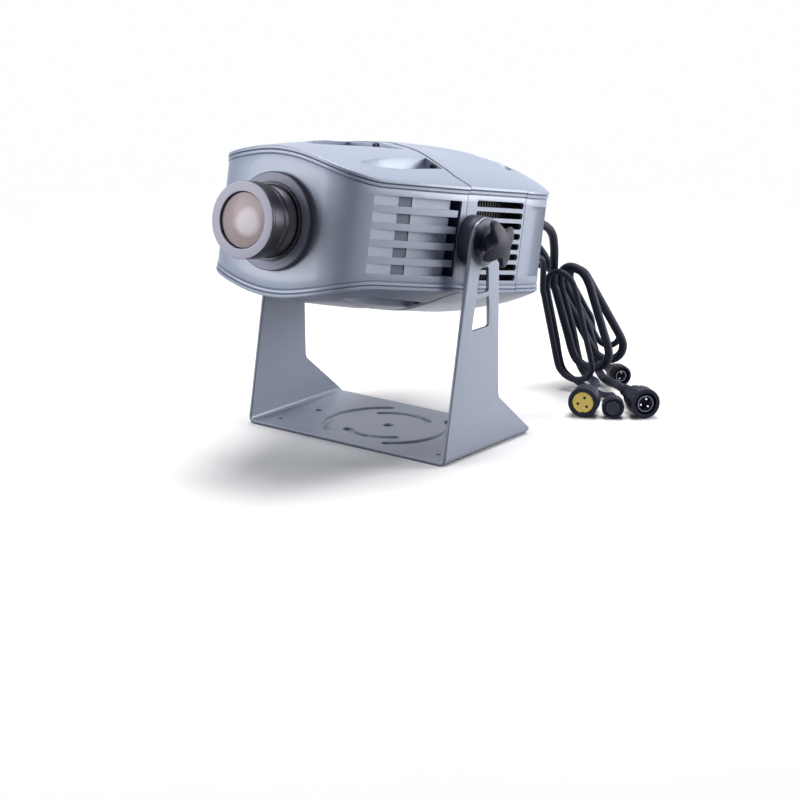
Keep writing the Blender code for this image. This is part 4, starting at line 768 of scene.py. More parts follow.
@dataclass
class Studio:
    """Camera, lamps, world and floor."""

    azimuth: float = math.radians(35.6874)
    elevation: float = math.radians(15.7652)
    roll: float = math.radians(0.9983)
    place: Place = (1.18796, -1.62130, 0.59863)
    lens: float = 99.0
    floor_size: float = 3.0
    # distances from the middle between which the floor fades into the white
    fade: tuple[float, float] = (0.35, 1.35)
    sky: float = 0.1
    sky_tint: Colour = (0.72, 0.84, 1.0)
    bounce: float = 0.12

    def camera(self) -> None:
        """Camera at the photograph's angle: right, up and back axes, turned by the roll."""
        back = Vector((math.sin(self.azimuth) * math.cos(self.elevation),
                       -math.cos(self.azimuth) * math.cos(self.elevation), math.sin(self.elevation)))
        right = (-back).cross(Vector((0.0, 0.0, 1.0))).normalized()
        up = right.cross(-back)
        level = Matrix.Rotation(self.roll, 3, back)
        axes = Matrix((level @ right, level @ up, back)).transposed()
        data = bpy.data.cameras.new("camera")
        data.lens = self.lens
        data.sensor_width = 36.0
        data.clip_end = 50.0
        item = bpy.data.objects.new("camera", data)
        bpy.context.scene.collection.objects.link(item)
        item.matrix_world = Matrix.Translation(Vector(self.place)) @ axes.to_4x4()
        bpy.context.scene.camera = item

    def lamp(self, name: str, place: Place, size: tuple[float, float], power: float,
             colour: Colour = (1.0, 1.0, 1.0)) -> None:
        """Soft rectangular lamp that faces the projector.

        Args:
            name: name of the lamp.
            place: its place in metres.
            size: its two sides in metres.
            power: its power in watts.
            colour: its colour.
        """
        data = bpy.data.lights.new(name, "AREA")
        data.shape = "RECTANGLE"
        data.size, data.size_y = size
        data.energy = power
        data.color = colour
        item = bpy.data.objects.new(name, data)
        bpy.context.scene.collection.objects.link(item)
        item.location = place
        aim = Vector((0.0, 0.0, 0.17)) - Vector(place)
        item.rotation_euler = aim.to_track_quat("-Z", "Y").to_euler()

    def seen(self, tree: bpy.types.NodeTree) -> bpy.types.NodeSocket:
        """One where the camera, gloss or glass looks, and nought for light that bounces.

        Args:
            tree: node tree that the nodes are added to.

        Returns:
            The greatest of the three ray flags.
        """
        path = tree.nodes.new("ShaderNodeLightPath")
        total = path.outputs["Is Camera Ray"]
        for ray in ("Is Glossy Ray", "Is Transmission Ray"):
            joined = tree.nodes.new("ShaderNodeMath")
            joined.operation = "MAXIMUM"
            tree.links.new(total, joined.inputs[0])
            tree.links.new(path.outputs[ray], joined.inputs[1])
            total = joined.outputs[0]
        return total

    def world(self) -> None:
        """Dim sky that the camera, gloss and glass see as white."""
        sky = bpy.data.worlds.new("studio")
        bpy.context.scene.world = sky
        sky.use_nodes = True
        tree = sky.node_tree
        back = tree.nodes["Background"]
        level = tree.nodes.new("ShaderNodeMapRange")
        level.inputs["To Min"].default_value = self.sky
        level.inputs["To Max"].default_value = 1.0
        tree.links.new(self.seen(tree), level.inputs["Value"])
        tint = tree.nodes.new("ShaderNodeMix")
        tint.data_type = "RGBA"
        tint.inputs[6].default_value = rgba(self.sky_tint)
        tint.inputs[7].default_value = (0.99, 0.995, 1.0, 1.0)
        tree.links.new(level.inputs["Value"].links[0].from_socket, tint.inputs[0])
        tree.links.new(tint.outputs[2], back.inputs["Color"])
        tree.links.new(level.outputs[0], back.inputs["Strength"])

    def floor(self) -> None:
        """Pale floor that fades into the white behind it."""
        half = self.floor_size / 2.0 / MM
        item = new_object("floor", [block((0.0, 0.0, -2.0), (2 * half, 2 * half, 4.0))], Space.FLOOR, [])
        graph = Graph("pale_floor")
        pale = graph.mix(graph.noise(6.0), (0.9, 0.9, 0.91, 1.0), (0.94, 0.94, 0.945, 1.0))
        graph.feed("Base Color", graph.mix(self.seen(graph.tree), (*[self.bounce] * 3, 1.0), pale))
        graph.feed("Roughness", 0.7)
        away = graph.vector("LENGTH", graph.place).outputs["Value"]
        share = graph.spread(away, 0.0, 1.0, *self.fade)
        clear = graph.add("ShaderNodeBsdfTransparent").outputs[0]
        both = graph.add("ShaderNodeMixShader", {0: share, 1: graph.shader.outputs[0], 2: clear})
        graph.tree.links.new(both.outputs[0], graph.tree.nodes["Material Output"].inputs["Surface"])
        item.data.materials.append(graph.material)

    def build(self) -> None:
        """Set the whole studio."""
        bpy.context.scene.view_settings.view_transform = "Standard"
        self.camera()
        self.world()
        self.lamp("left_box", (-1.0, -1.7, 0.6), (1.2, 1.1), 31.0)
        self.lamp("right_box", (1.35, 1.45, 0.5), (1.1, 1.1), 42.0)
        self.lamp("top_box", (-0.1, 0.45, 2.1), (1.3, 1.3), 60.0, (1.0, 0.97, 0.96))
        self.floor()
        log.info("studio set")


# Housing


@dataclass
class HousingForm:
    """Pillow form of the whole housing, seen as one skin before it is cut into sections."""

    plan: tuple[tuple[float, float], ...] = (
        (0.0, -160.0), (30.0, -159.2), (54.0, -156.0), (68.0, -149.0), (76.5, -134.0), (84.0, -105.0),
        (92.0, -65.0), (98.0, -25.0), (99.0, 5.0), (99.0, 50.0), (98.8, 86.0), (97.5, 112.0),
        (93.5, 131.0), (85.5, 142.5), (73.0, 146.6), (40.0, 147.0), (0.0, 147.0))
    rim_half: float = 48.0
    arch_half: float = 66.0
    arch_length: float = 108.0
    crown: float = 77.0
    crown_place: float = -4.0
    # rim bead as (drop below the rim, outward offset)
    bead: tuple[tuple[float, float], ...] = (
        (0.0, 0.0), (0.9, 1.0), (2.9, 1.15), (3.7, -0.9), (4.5, 0.75), (6.5, 0.75), (7.3, -0.9),
        (8.3, 0.0))
    shares: tuple[float, ...] = (1.0, 0.975, 0.9, 0.74, 0.42, 0.0)
    power: tuple[float, float, float] = (2.0, 4.6, 2.0)
    fall: tuple[float, float, float] = (1.1, 0.55, 0.9)
    half_steps: int = 84
    wall_rows: int = 13
    bead_rows: int = 43
    dome_rows: int = 26

    def half_outline(self) -> np.ndarray:
        """Half plan from the front middle to the rear middle, as x, y and distance along it.

        Points gather where the outline bends: their weight is length plus 0.45 times the turn.

        Returns:
            One point to a row.
        """
        fine = catmull(np.array(self.plan), np.linspace(0.0, len(self.plan) - 1.0, 400))
        fine[[0, -1], 0] = 0.0
        step = np.gradient(fine, axis=0)
        turn = np.abs(np.gradient(np.unwrap(np.arctan2(step[:, 1], step[:, 0]))))
        length = np.r_[0.0, np.cumsum(np.linalg.norm(np.diff(fine, axis=0), axis=1))]
        pace = np.diff(length) / length[-1] + 0.225 * (turn[1:] + turn[:-1])
        weight = np.r_[0.0, np.cumsum(pace)]
        wanted = np.linspace(0.0, weight[-1], self.half_steps)
        columns = (fine[:, 0], fine[:, 1], length)
        return np.column_stack([np.interp(wanted, weight, column) for column in columns])

    def wall_x(self, y: np.ndarray | float) -> np.ndarray | float:
        """Half width of the side wall at a station.

        Args:
            y: station or stations along the head.

        Returns:
            The wall's x there.
        """
        half = self.half_outline()
        flank = half[np.argmax(half[:, 0] > 60.0):][:-30]
        return np.interp(y, flank[:, 1], flank[:, 0])

    def rim(self, distance: np.ndarray) -> np.ndarray:
        """Half height of the rim: a cosine arch over the front face that eases down the sides."""
        share = np.clip(distance / self.arch_length, 0.0, 1.0)
        return self.rim_half + (self.arch_half - self.rim_half) * 0.5 * (1.0 + np.cos(np.pi * share))

    def rise(self, ring: np.ndarray) -> np.ndarray:
        """Share of the dome's rise at each control share: (1 - s^p)^f, p and f eased by place.

        Args:
            ring: points of the outline.

        Returns:
            A row for each control share, a column for each point.
        """
        sideways = np.clip((ring[:, 0] / HALF_WIDTH) ** 2, 0.0, 1.0)
        ahead = ring[:, 1] < 0.0
        power = np.where(ahead, self.power[0], self.power[1])
        power = power + (self.power[2] - power) * sideways
        fall = np.where(ahead, self.fall[0], self.fall[1])
        fall = fall + (self.fall[2] - fall) * sideways
        return (1.0 - np.array(self.shares)[:, None] ** power) ** fall

    def solid(self, inset: float = 0.0, beads: bool = True, proud: float = 1.0) -> Skin:
        """Closed skin of the form, inset from its surface.

        Rows run from the lower crown over the lower dome, beads, wall, upper beads and upper dome.
        A bead row is the plan moved outward by the bead's offset, eased between its knots by a
        cosine. A dome row is the plan times a share s, lifted to rim + (crown - rim) rise(s).

        Args:
            inset: distance below the surface, in millimetres.
            beads: the rim beads are raised.
            proud: scale of the whole form.

        Returns:
            The closed skin.
        """
        half = self.half_outline()
        ring = np.vstack([half, half[-2:0:-1] * [-1.0, 1.0, 1.0]])
        along = np.roll(ring[:, :2], -1, axis=0) - np.roll(ring[:, :2], 1, axis=0)
        outward = np.column_stack([along[:, 1], -along[:, 0]])
        outward /= np.linalg.norm(outward, axis=1, keepdims=True)
        rim = self.rim(ring[:, 2])
        drops, offsets = np.array(self.bead).T
        knots = np.linspace(0.0, len(drops) - 1.0, self.bead_rows)
        first = np.minimum(knots.astype(int), len(drops) - 2)
        share = ease(knots - first)
        offset = offsets[first] + (offsets[first + 1] - offsets[first]) * share
        offset = offset * (1.0 if beads else 0.0)
        drop = np.interp(knots, np.arange(len(drops)), drops)
        place = ring[None, :, :2] + outward * (offset[:, None, None] - inset)
        beadwork = np.dstack([place, rim - drop[:, None] - inset])[::-1]
        top = rim - drops[-1] - inset
        level = np.linspace(-1.0, 1.0, self.wall_rows)[1:-1, None] * top
        wall = np.dstack([np.broadcast_to(ring[:, :2] - outward * inset, level.shape + (2,)), level])
        shares = np.array(self.shares)[:, None] * np.ones(len(ring))
        controls = np.dstack([shares, self.rise(ring)])
        dome = catmull(controls, np.linspace(0.0, len(self.shares) - 1.0, self.dome_rows + 1)[1:])
        scale, lift = np.clip(dome[..., :1], 0.0, 1.0), np.clip(dome[..., 1], 0.0, 1.0)
        place = (ring[:, :2] - outward * inset) * scale
        place[..., 1] += self.crown_place * (1.0 - scale[..., 0]) ** 3
        cap = np.dstack([place, rim + (self.crown - rim) * lift - inset])
        upper = np.concatenate([beadwork, cap])
        lower = upper[::-1] * [1.0, 1.0, -1.0]
        grid = np.concatenate([lower, wall, upper]) * [1.0, 1.0, proud]
        return skin(grid, caps=False)


@dataclass
class Scoop:
    """Recess in a dome with a steep wall at one end, where its fixing screw sits."""

    x: float
    wall: float
    height: float
    tip_height: float
    length: float
    width: float
    depth: float
    tip: float
    widening: float
    ahead: float = 1.0
    turn: float = 0.0
    stations: int = 17

    def form(self, grow: float = 0.0) -> Skin:
        """Closed skin of the recess.

        Cross sections stand at stations s from the tip to the wall. Their half width is
        w (tip + (1 - tip) sin(pi / 2 min(1, s / widening))). Their floor is the straight line from
        the dome's height at the tip to that at the wall, plus a lip, less (depth + lip) s^0.55. The
        liner is the same form grown on every side.

        Args:
            grow: distance that the form is grown by, in millimetres.

        Returns:
            The closed skin.
        """
        s = np.linspace(0.0, 1.0, self.stations)[:, None]
        full = np.sin(0.5 * math.pi * np.minimum(1.0, s / self.widening))
        half = (self.width / 2.0) * (self.tip + (1.0 - self.tip) * full) + grow
        line = self.tip_height + (self.height - self.tip_height) * s
        floor = line + SCOOP_LIP - (self.depth + SCOOP_LIP) * s ** 0.55 - grow
        station = grow * s - (self.length + grow) * (1.0 - s)
        across = np.array([-1.0, -1.0, -0.94, 0.94, 1.0, 1.0])
        soft = np.array([0.0, 1.0, 0.0, 0.0, 1.0, 0.0])
        x = half * across
        z = floor + soft * 1.2
        z[:, [0, -1]] = self.height + SCOOP_SKY
        y = np.broadcast_to(station, x.shape) * self.ahead
        cos, sin = math.cos(math.radians(self.turn)), math.sin(math.radians(self.turn))
        return skin(np.stack([self.x + x * cos - y * sin, self.wall + x * sin + y * cos, z], axis=-1))

    def screw_place(self) -> Place:
        """Middle of the screw's head, on the steep wall."""
        return self.x, self.wall, self.height - 0.45 * self.depth


def socket_screw(centre: Place, towards: float, radius: float = 3.0) -> list[Skin]:
    """Socket-head screw along Y whose head stands out towards that side, with a hexagon socket.

    Its rings are those of a turned profile, except that the two rings of the socket are hexagons.

    Args:
        centre: where the screw's axis meets the surface.
        towards: 1 or -1, the side that the head looks to.
        radius: radius of the head.

    Returns:
        One skin.
    """
    angle = around(24)
    socket = hexagon(angle, SCREW_SOCKET * radius)
    rim = radius * np.array([0.93, 1.0, 1.0, 0.0])[:, None] * np.ones_like(angle)
    outer = np.vstack([np.zeros_like(angle), socket, socket, rim])
    bottom = SCREW_HEAD - SCREW_SOCKET_DEPTH
    levels = [bottom, bottom, SCREW_HEAD, SCREW_HEAD, SCREW_HEAD - 0.2, -SCREW_SINK, -SCREW_SINK]
    along = np.array(levels)[:, None] * np.ones_like(angle)
    grid = on_axis(outer * np.cos(angle), outer * np.sin(angle), along * towards, Axis.Y)
    return [skin(grid + np.array(centre), caps=False)]


@dataclass
class Housing:
    """Cast housing in three sections, with louvres, vents, recesses and screws."""

    form: HousingForm = field(default_factory=HousingForm)
    wall: float = 3.0
    liner: float = 2.2
    seam_gap: float = 0.4
    front_seam: float = -11.0
    rear_seam: float = 86.0
    seam_middle: float = -5.0
    seam_dip: float = 16.2
    rear_bow: float = 9.0
    proud: float = 1.012
    louvre_front: float = -127.0
    louvre_rear: float = -20.3
    louvre_half: float = 34.2
    rib: float = 6.2
    ribs: int = 4
    rib_end: float = -23.5
    shelf_end: float = -28.0
    # middle and width of the blocks that cut the open slot behind the ribs
    cut_x: float = 96.0
    cut_width: float = 40.0
    panel_sink: float = 0.7
    lining: float = 2.5
    lining_depth: float = 12.0
    # stations of the pocket plates of painted shade, and their faces' and backs' depths below the wall
    shade_plate_span: tuple[float, float] = (-95.7, -79.3)
    shade_plate_depths: tuple[float, float] = (5.0, 9.6)
    # channel floor as (station, depth below the wall); the deep part is the dark pocket
    louvre_floor: tuple[tuple[float, float], ...] = (
        (-127.0, 0.8), (-118.0, 1.8), (-96.0, 3.6), (-95.8, 9.5), (-79.2, 9.5), (-79.0, 4.4),
        (-28.0, 6.6))
    vent_pitch: float = 9.6
    vent_height: float = 5.8
    vent_drop: float = 0.6
    vent_end: float = 83.0
    vent_starts: tuple[float, float] = (3.5, 24.5)
    vent_long_from: float = 23.0
    vents: int = 8
    lens_bore: float = 35.0
    stud_bore: float = 4.6
    # rear pad: half sizes, corner radius, and the width and floor station of the groove round it
    pad_half: tuple[float, float] = (76.0, 38.0)
    pad_radius: float = 3.0
    groove_width: float = 1.2
    groove_floor: float = 145.7
    # x, y and z of the screws in the side pockets
    pocket_screw: Place = (92.0, 99.0, 27.0)
    front_scoops: tuple[Scoop, ...] = (
        Scoop(65.5, -24.0, 65.0, 58.4, 103.0, 21.0, 9.5, 0.08, 0.6, turn=-3.6),
        Scoop(-65.5, -24.0, 65.0, 58.4, 103.0, 21.0, 9.5, 0.08, 0.6, turn=3.6),
        Scoop(0.0, -25.0, 76.6, 69.8, 101.0, 64.0, 8.0, 0.2, 1.0))
    rear_scoops: tuple[Scoop, ...] = (
        Scoop(0.0, 97.0, 74.4, 73.0, 36.0, 62.0, 11.0, 0.7, 1.0, -1.0),
        Scoop(60.0, 94.0, 67.4, 65.0, 30.0, 18.0, 9.0, 0.6, 0.4, -1.0),
        Scoop(-60.0, 94.0, 67.4, 65.0, 30.0, 18.0, 9.0, 0.6, 0.4, -1.0))

    def front_line(self, shift: float) -> list[tuple[float, float]]:
        """Front seam in plan, for the share s of the half width.

        It runs y = middle - dip sin(min(1, s / 0.8) 90)^1.6, and past s = 0.85 it swings back to the
        side by the square of what is left.

        Args:
            shift: distance that the line is moved to the rear.

        Returns:
            Points from the left to the right, past both sides.
        """
        across = np.linspace(-SEAM_REACH, SEAM_REACH, 61)
        share = np.clip(np.abs(across) / HALF_WIDTH, 0.0, 1.0)
        dip = np.sin(0.5 * math.pi * np.minimum(1.0, share / 0.8)) ** 1.6
        back = (np.maximum(share - 0.85, 0.0) / 0.15) ** 2
        line = shift + self.seam_middle - self.seam_dip * dip
        return list(zip(across, line + (self.front_seam - self.seam_middle + self.seam_dip) * back))

    def rear_line(self, shift: float) -> list[tuple[float, float]]:
        """Rear seam in plan: y = side + shift - bow (1 - s^2) for the share s of the half width.

        Args:
            shift: distance that the line is moved to the rear.

        Returns:
            Points from the left to the right, past both sides.
        """
        across = np.linspace(-SEAM_REACH, SEAM_REACH, 41)
        share = np.clip(np.abs(across) / HALF_WIDTH, 0.0, 1.0)
        return list(zip(across, self.rear_seam + shift - self.rear_bow * (1.0 - share ** 2)))

    def zone(self, ahead: list, behind: list) -> Skin:
        """Tall block between two lines across the housing."""
        return prism(ahead + behind[::-1], Axis.Z, -100.0, 100.0)

    def straight(self, y: float) -> list[tuple[float, float]]:
        """Straight line across the housing."""
        return [(-SEAM_REACH, y), (SEAM_REACH, y)]

    def section(self, name: str, zone: Skin, liners: list[Skin], hollows: list[Skin],
                proud: float = 1.0) -> bpy.types.Object:
        """One section: the form inside a zone, less its lined inside and its recesses.

        Args:
            name: name of the piece.
            zone: block that the form is cut to.
            liners: forms that stay solid in the inside.
            hollows: recesses and openings.
            proud: scale of the whole form.

        Returns:
            The section, without its body and slot.
        """
        body = new_object(name, [self.form.solid(proud=proud)], Space.HEAD, [PAINT])
        carve(body, [zone], "INTERSECT")
        core = new_object(name + "_core", [self.form.solid(self.wall, False, proud)], Space.HEAD, [])
        if liners:
            carve(core, liners)
        carve_with(body, [core], "DIFFERENCE")
        return carve(body, hollows)

    def channel_heights(self) -> list[tuple[float, float]]:
        """Lower and upper edge of each louvre channel.

        Returns:
            The pairs, from the lowest channel up.
        """
        channel = (2.0 * self.louvre_half - self.ribs * self.rib) / (self.ribs + 1)
        low = [-self.louvre_half + k * (channel + self.rib) for k in range(self.ribs + 1)]
        return [(z, z + channel) for z in low]

    def louvre(self) -> tuple[list[Skin], list[Skin]]:
        """Liner and cutters of the right louvre.

        The whole panel sits a little below the wall. The channels between its ribs fall away to the
        rear, drop into a dark pocket, come up again and end in an open slot.

        Returns:
            The liners, and the cutters.
        """
        stations, depths = np.array(self.louvre_floor).T
        floor = list(zip(self.form.wall_x(stations) - depths, stations))
        outer = [(OUTSIDE, self.shelf_end), (OUTSIDE, self.louvre_front)]
        skinned = np.linspace(self.louvre_front, self.louvre_rear, 12)
        panel = list(zip(self.form.wall_x(skinned) - self.panel_sink, skinned))
        panel += [(OUTSIDE, self.louvre_rear), (OUTSIDE, self.louvre_front)]
        cutters = [prism(panel, Axis.Z, -self.louvre_half, self.louvre_half)]
        for low, high in self.channel_heights():
            cutters.append(prism(floor + outer, Axis.Z, low, high))
            middle = (self.cut_x, (self.rib_end + self.shelf_end) / 2.0 - 0.05, (low + high) / 2.0)
            size = (self.cut_width, self.rib_end - self.shelf_end + 0.2, high - low)
            cutters.append(block(middle, size))
        middle = (self.cut_x, (self.rib_end + self.louvre_rear) / 2.0, 0.0)
        size = (self.cut_width, self.louvre_rear - self.rib_end, 2.0 * self.louvre_half)
        cutters.append(block(middle, size))
        front, rear = self.louvre_front - self.wall, self.louvre_rear + self.lining
        backing = np.array([front, -97.0, self.shelf_end, rear])
        lining = list(zip(self.form.wall_x(backing) - self.lining_depth, backing))
        lining += [(OUTSIDE, rear), (OUTSIDE, front)]
        half = self.louvre_half + self.lining
        return [prism(lining, Axis.Z, -half, half)], cutters

    def louvre_trim(self) -> None:
        """Plates of painted shade: grey ones in the pockets of the channels, and a near-black one at the
        end of the slot behind the ribs.
        """
        first, last = self.shade_plate_span
        flank = self.form.wall_x(np.array(self.shade_plate_span))
        face, back = (flank - depth for depth in self.shade_plate_depths)
        outline = [(back[0], first), (back[1], last), (face[1], last), (face[0], first)]
        skins = [prism(outline, Axis.Z, low + 0.05, high - 0.05) for low, high in self.channel_heights()]
        # near-black plate of painted shadow on the rear wall of the slot behind the ribs
        end_size = (13.2, 0.3, 2.0 * self.louvre_half - 0.1)
        skins.append(block((90.4, self.louvre_rear - 0.15, 0.0), end_size, 1))
        item = new_object("louvre_painted_shade", self.both_sides(skins), Space.HEAD, [POCKET_PAINTED_SHADE, SHADOW])
        finish_piece(item, Body.HEAD, "painted_casting")

    def both_sides(self, skins: list[Skin], axis: Axis = Axis.X) -> list[Skin]:
        """The skins and their mirror images."""
        return skins + [mirrored(part, axis) for part in skins]

    def scoop_forms(self, scoops: tuple[Scoop, ...], grow: float) -> list[Skin]:
        """Forms of the scoops on the upper dome and, mirrored, underneath."""
        return self.both_sides([scoop.form(grow) for scoop in scoops], Axis.Z)

    def front(self) -> None:
        """Front shell."""
        zone = self.zone(self.straight(-190.0), self.front_line(-self.seam_gap))
        lining, cutters = self.louvre()
        liners = self.both_sides(lining) + self.scoop_forms(self.front_scoops, self.liner)
        hollows = self.both_sides(cutters) + self.scoop_forms(self.front_scoops, 0.0)
        hollows.append(rod(self.lens_bore, -175.0, -145.0))
        body = self.section("front_shell", zone, liners, hollows)
        finish_piece(body, Body.HEAD, "painted_casting", "front_housing")

    def vent(self, height: float) -> Skin:
        """Round-ended slot right through both side walls; those behind the boss start further back.

        Args:
            height: height of its middle before the drop.

        Returns:
            The cutter.
        """
        start = self.vent_starts[0] if abs(height) > self.vent_long_from else self.vent_starts[1]
        half = self.vent_height / 2.0
        middle = ((self.vent_end + start) / 2.0, height - self.vent_drop)
        outline = rounded_box(((self.vent_end - start) / 2.0, half), half - 0.01, middle)
        return prism(outline, Axis.X, -120.0, 120.0)

    def middle(self) -> None:
        """Middle section, with its vents in each side."""
        zone = self.zone(self.front_line(self.seam_gap), self.rear_line(-self.seam_gap))
        hollows = [self.vent(((self.vents - 1) / 2.0 - k) * self.vent_pitch) for k in range(self.vents)]
        hollows.append(rod(self.stud_bore, -120.0, 120.0, 24, Axis.X))
        body = self.section("middle_section", zone, [], hollows, self.proud)
        finish_piece(body, Body.HEAD, "painted_casting", "middle_housing")

    def pocket(self, grow: float) -> Skin:
        """Tall pocket on the right rear corner: a step ahead of a floor that bends to the rear.

        Args:
            grow: distance that the form is grown by, in millimetres.

        Returns:
            The closed skin.
        """
        outline = [(110.0, 99.0 - grow), (88.0 - grow, 99.0 - grow), (83.0 - grow, 121.0),
                   (84.5 - grow, 131.0), (90.5 - grow, 144.0 + grow), (96.0, 153.0 + grow),
                   (110.0, 150.0)]
        return prism(outline, Axis.Z, -33.0 - grow, 33.0 + grow)

    def rear(self) -> None:
        """Rear cover."""
        zone = self.zone(self.rear_line(self.seam_gap), self.straight(170.0))
        liners = self.both_sides([self.pocket(self.liner)])
        liners += self.scoop_forms(self.rear_scoops, self.liner)
        hollows = self.both_sides([self.pocket(0.0)]) + self.scoop_forms(self.rear_scoops, 0.0)
        hollows.append(block((0.0, REAR_FACE, 1.0), (50.0, 30.0, 42.0)))
        for gland in GLANDS:
            hollows.append(rod(gland.thread - 0.9, 130.0, 160.0, 24, centre=(gland.x, 0.0, gland.z)))
        outer = rounded_box(self.pad_half, self.pad_radius)
        inner = rounded_box((self.pad_half[0] - self.groove_width, self.pad_half[1] - self.groove_width),
                            self.pad_radius - 1.0)
        low, high = self.groove_floor, REAR_FACE + 3.0
        rings = ((outer, low), (outer, high), (inner, high), (inner, low))
        hollows.append(skin(np.stack([level_ring(*ring) for ring in rings]), close_along=True))
        body = self.section("rear_shell", zone, liners, hollows)
        finish_piece(body, Body.HEAD, "painted_casting", "rear_cover")

    def front_seal(self) -> None:
        """Rubber seal along the front seam, below the surface and between the two walls."""
        seal = new_object("front_seal", [self.form.solid(1.3, False)], Space.HEAD, [SEAL])
        carve(seal, [self.zone(self.front_line(-1.2), self.front_line(1.2))], "INTERSECT")
        carve(seal, [self.form.solid(self.wall + 0.2, False)])
        finish_piece(seal, Body.HEAD, "black_rubber", "front_seam_gasket")

    def screws(self) -> None:
        """Socket screws on the steep walls of the recesses and in the corner pockets."""
        skins: list[Skin] = []
        for scoop in self.front_scoops + self.rear_scoops:
            x, y, z = scoop.screw_place()
            for side in (1.0, -1.0):
                skins += socket_screw((x, y, side * z), -scoop.ahead)
        x, y, z = self.pocket_screw
        for place in ((x, y, z), (x, y, -z), (-x, y, z), (-x, y, -z)):
            skins += socket_screw(place, 1.0)
        item = new_object("housing_screws", skins, Space.HEAD, [DARK_STEEL])
        finish_piece(item, Body.HEAD, "steel")

    def build(self) -> None:
        """Make the three sections, the louvre trim, the seal and the screws."""
        self.front()
        self.louvre_trim()
        self.middle()
        self.rear()
        self.front_seal()
        self.screws()


# Lens


@dataclass
class Objective:
    """Flange, lock ring, barrel, front ring and front glass."""

    front: float = -206.0
    ring_radius: float = 33.5
    barrel_radius: float = 31.6
    flange_radius: float = 43.2
    flange_face: float = -166.5
    lock_radius: float = 34.6
    housing_face: float = -160.0

    def flange(self) -> None:
        """Stepped flange that guides the barrel, with a turned front face whose pale colour is painted
        reflection.
        """
        rear = self.housing_face - GAP
        bore = self.barrel_radius + GAP
        face, wide = self.flange_face, self.flange_radius
        body = turned([(bore, rear), (38.0, rear), (38.0, rear - 2.4), (42.6, rear - 2.4),
                       (wide, rear - 3.0), (wide, face + 2.6), (42.3, face + 2.2), (42.3, face + 1.8),
                       (wide - 0.2, face + 1.4), (wide - 0.2, face + 0.8), (42.4, face + 0.2),
                       (bore, face + 0.2)], 96, ring=True)
        front = turned([(bore + 0.4, face + 0.4), (bore + 0.4, face), (42.2, face),
                        (42.2, face + 0.4)], 96, ring=True, finish=1)
        item = new_object("flange_ring", [body, front], Space.HEAD, [ANODISED, FLANGE_FACE_PAINTED_REFLECTION])
        finish_piece(item, Body.HEAD, "black_anodised", "lens_flange")

    def lock_ring(self) -> None:
        """Slim ring with shallow finger notches: radius less 0.5 where cos 24 a is high."""
        rear = self.flange_face - GAP
        bore = self.barrel_radius + GAP
        angle = around(144)
        rim = self.lock_radius
        notch = rim - 0.5 * np.clip(4.0 * (np.cos(24.0 * angle) - 0.6), 0.0, 1.0)
        body = turned([(bore, rear), (rim - 0.5, rear), (rim, rear - 0.5), (rim, rear - 2.7),
                       (rim - 0.5, rear - 3.2), (bore, rear - 3.2)], 144, ring=True, limit=notch)
        item = new_object("lock_ring_knurled", [body], Space.HEAD, [ANODISED])
        finish_piece(item, Body.LOCK_RING, "black_anodised", "lens_lock_ring")

    def barrel(self) -> None:
        """Focusing barrel: a smooth sleeve with a fine step behind its front part."""
        front = self.front + 16.3
        rear = -118.0
        radius = self.barrel_radius
        outer = [(29.8, front - 4.0), (29.8, front), (radius - 0.5, front), (radius, front + 0.5),
                 (radius, front + 9.0), (radius - 0.5, front + 9.3), (radius - 0.5, front + 9.9),
                 (radius - 0.2, front + 10.2), (radius - 0.2, rear - 0.6)]
        outer += [(radius - 0.6, rear), (26.5, rear), (26.5, -180.0), (25.2, -180.0),
                  (25.2, front - 4.0)]
        item = new_object("focus_barrel", [turned(outer, 96, ring=True)], Space.HEAD, [ANODISED], 50.0)
        finish_piece(item, Body.LENS_TURN, "black_anodised", "lens_barrel")

    def front_ring(self) -> None:
        """Wide ring with a turned front face, pale with painted reflection, and a dark lip round the
        glass.
        """
        rear = self.front + 16.0
        radius = self.ring_radius
        front = self.front
        shell = turned([(33.2, front + 0.25), (radius, front + 0.8), (radius, front + 3.2),
                        (radius - 0.35, front + 3.5), (radius - 0.35, front + 4.0),
                        (radius, front + 4.3), (radius, rear - 0.5), (radius - 0.5, rear),
                        (30.1, rear), (30.1, rear - 4.3),
                        (27.0, rear - 4.3), (27.0, front + 2.5), (23.6, front + 2.5),
                        (24.7, front + 0.35), (33.0, front + 0.5)], 120, ring=True)
        face = turned([(24.7, front + 0.35), (24.9, front), (32.7, front), (33.2, front + 0.25),
                       (33.0, front + 0.5)], 120, ring=True, finish=1)
        item = new_object("front_ring", [shell, face], Space.HEAD, [ANODISED, RING_FACE_PAINTED_REFLECTION])
        finish_piece(item, Body.LENS_TURN, "black_anodised", "lens_front_ring")

    def glass(self) -> None:
        """Front glass: both faces bulge by b (1 - (r / R)^2) past their edge planes."""
        share = np.linspace(0.0, 1.0, 14)
        edge = self.front + 2.4
        face = list(zip(23.2 * share, edge - 2.9 * (1.0 - share ** 2)))
        back = list(zip(26.6 * share[::-1], edge + 8.0 + 0.5 * (1.0 - share[::-1] ** 2)))
        rim = [(23.3, self.front + 2.85), (26.6, self.front + 2.85)]
        item = new_object("front_glass", [turned(face + rim + back, 96)], Space.HEAD, [GLASS])
        finish_piece(item, Body.OBJECTIVE, "coated_glass", "objective_front_lens")

    def build(self) -> None:
        """Make the lens assembly."""
        self.flange()
        self.lock_ring()
        self.barrel()
        self.front_ring()
        self.glass()


# Bracket and pivots


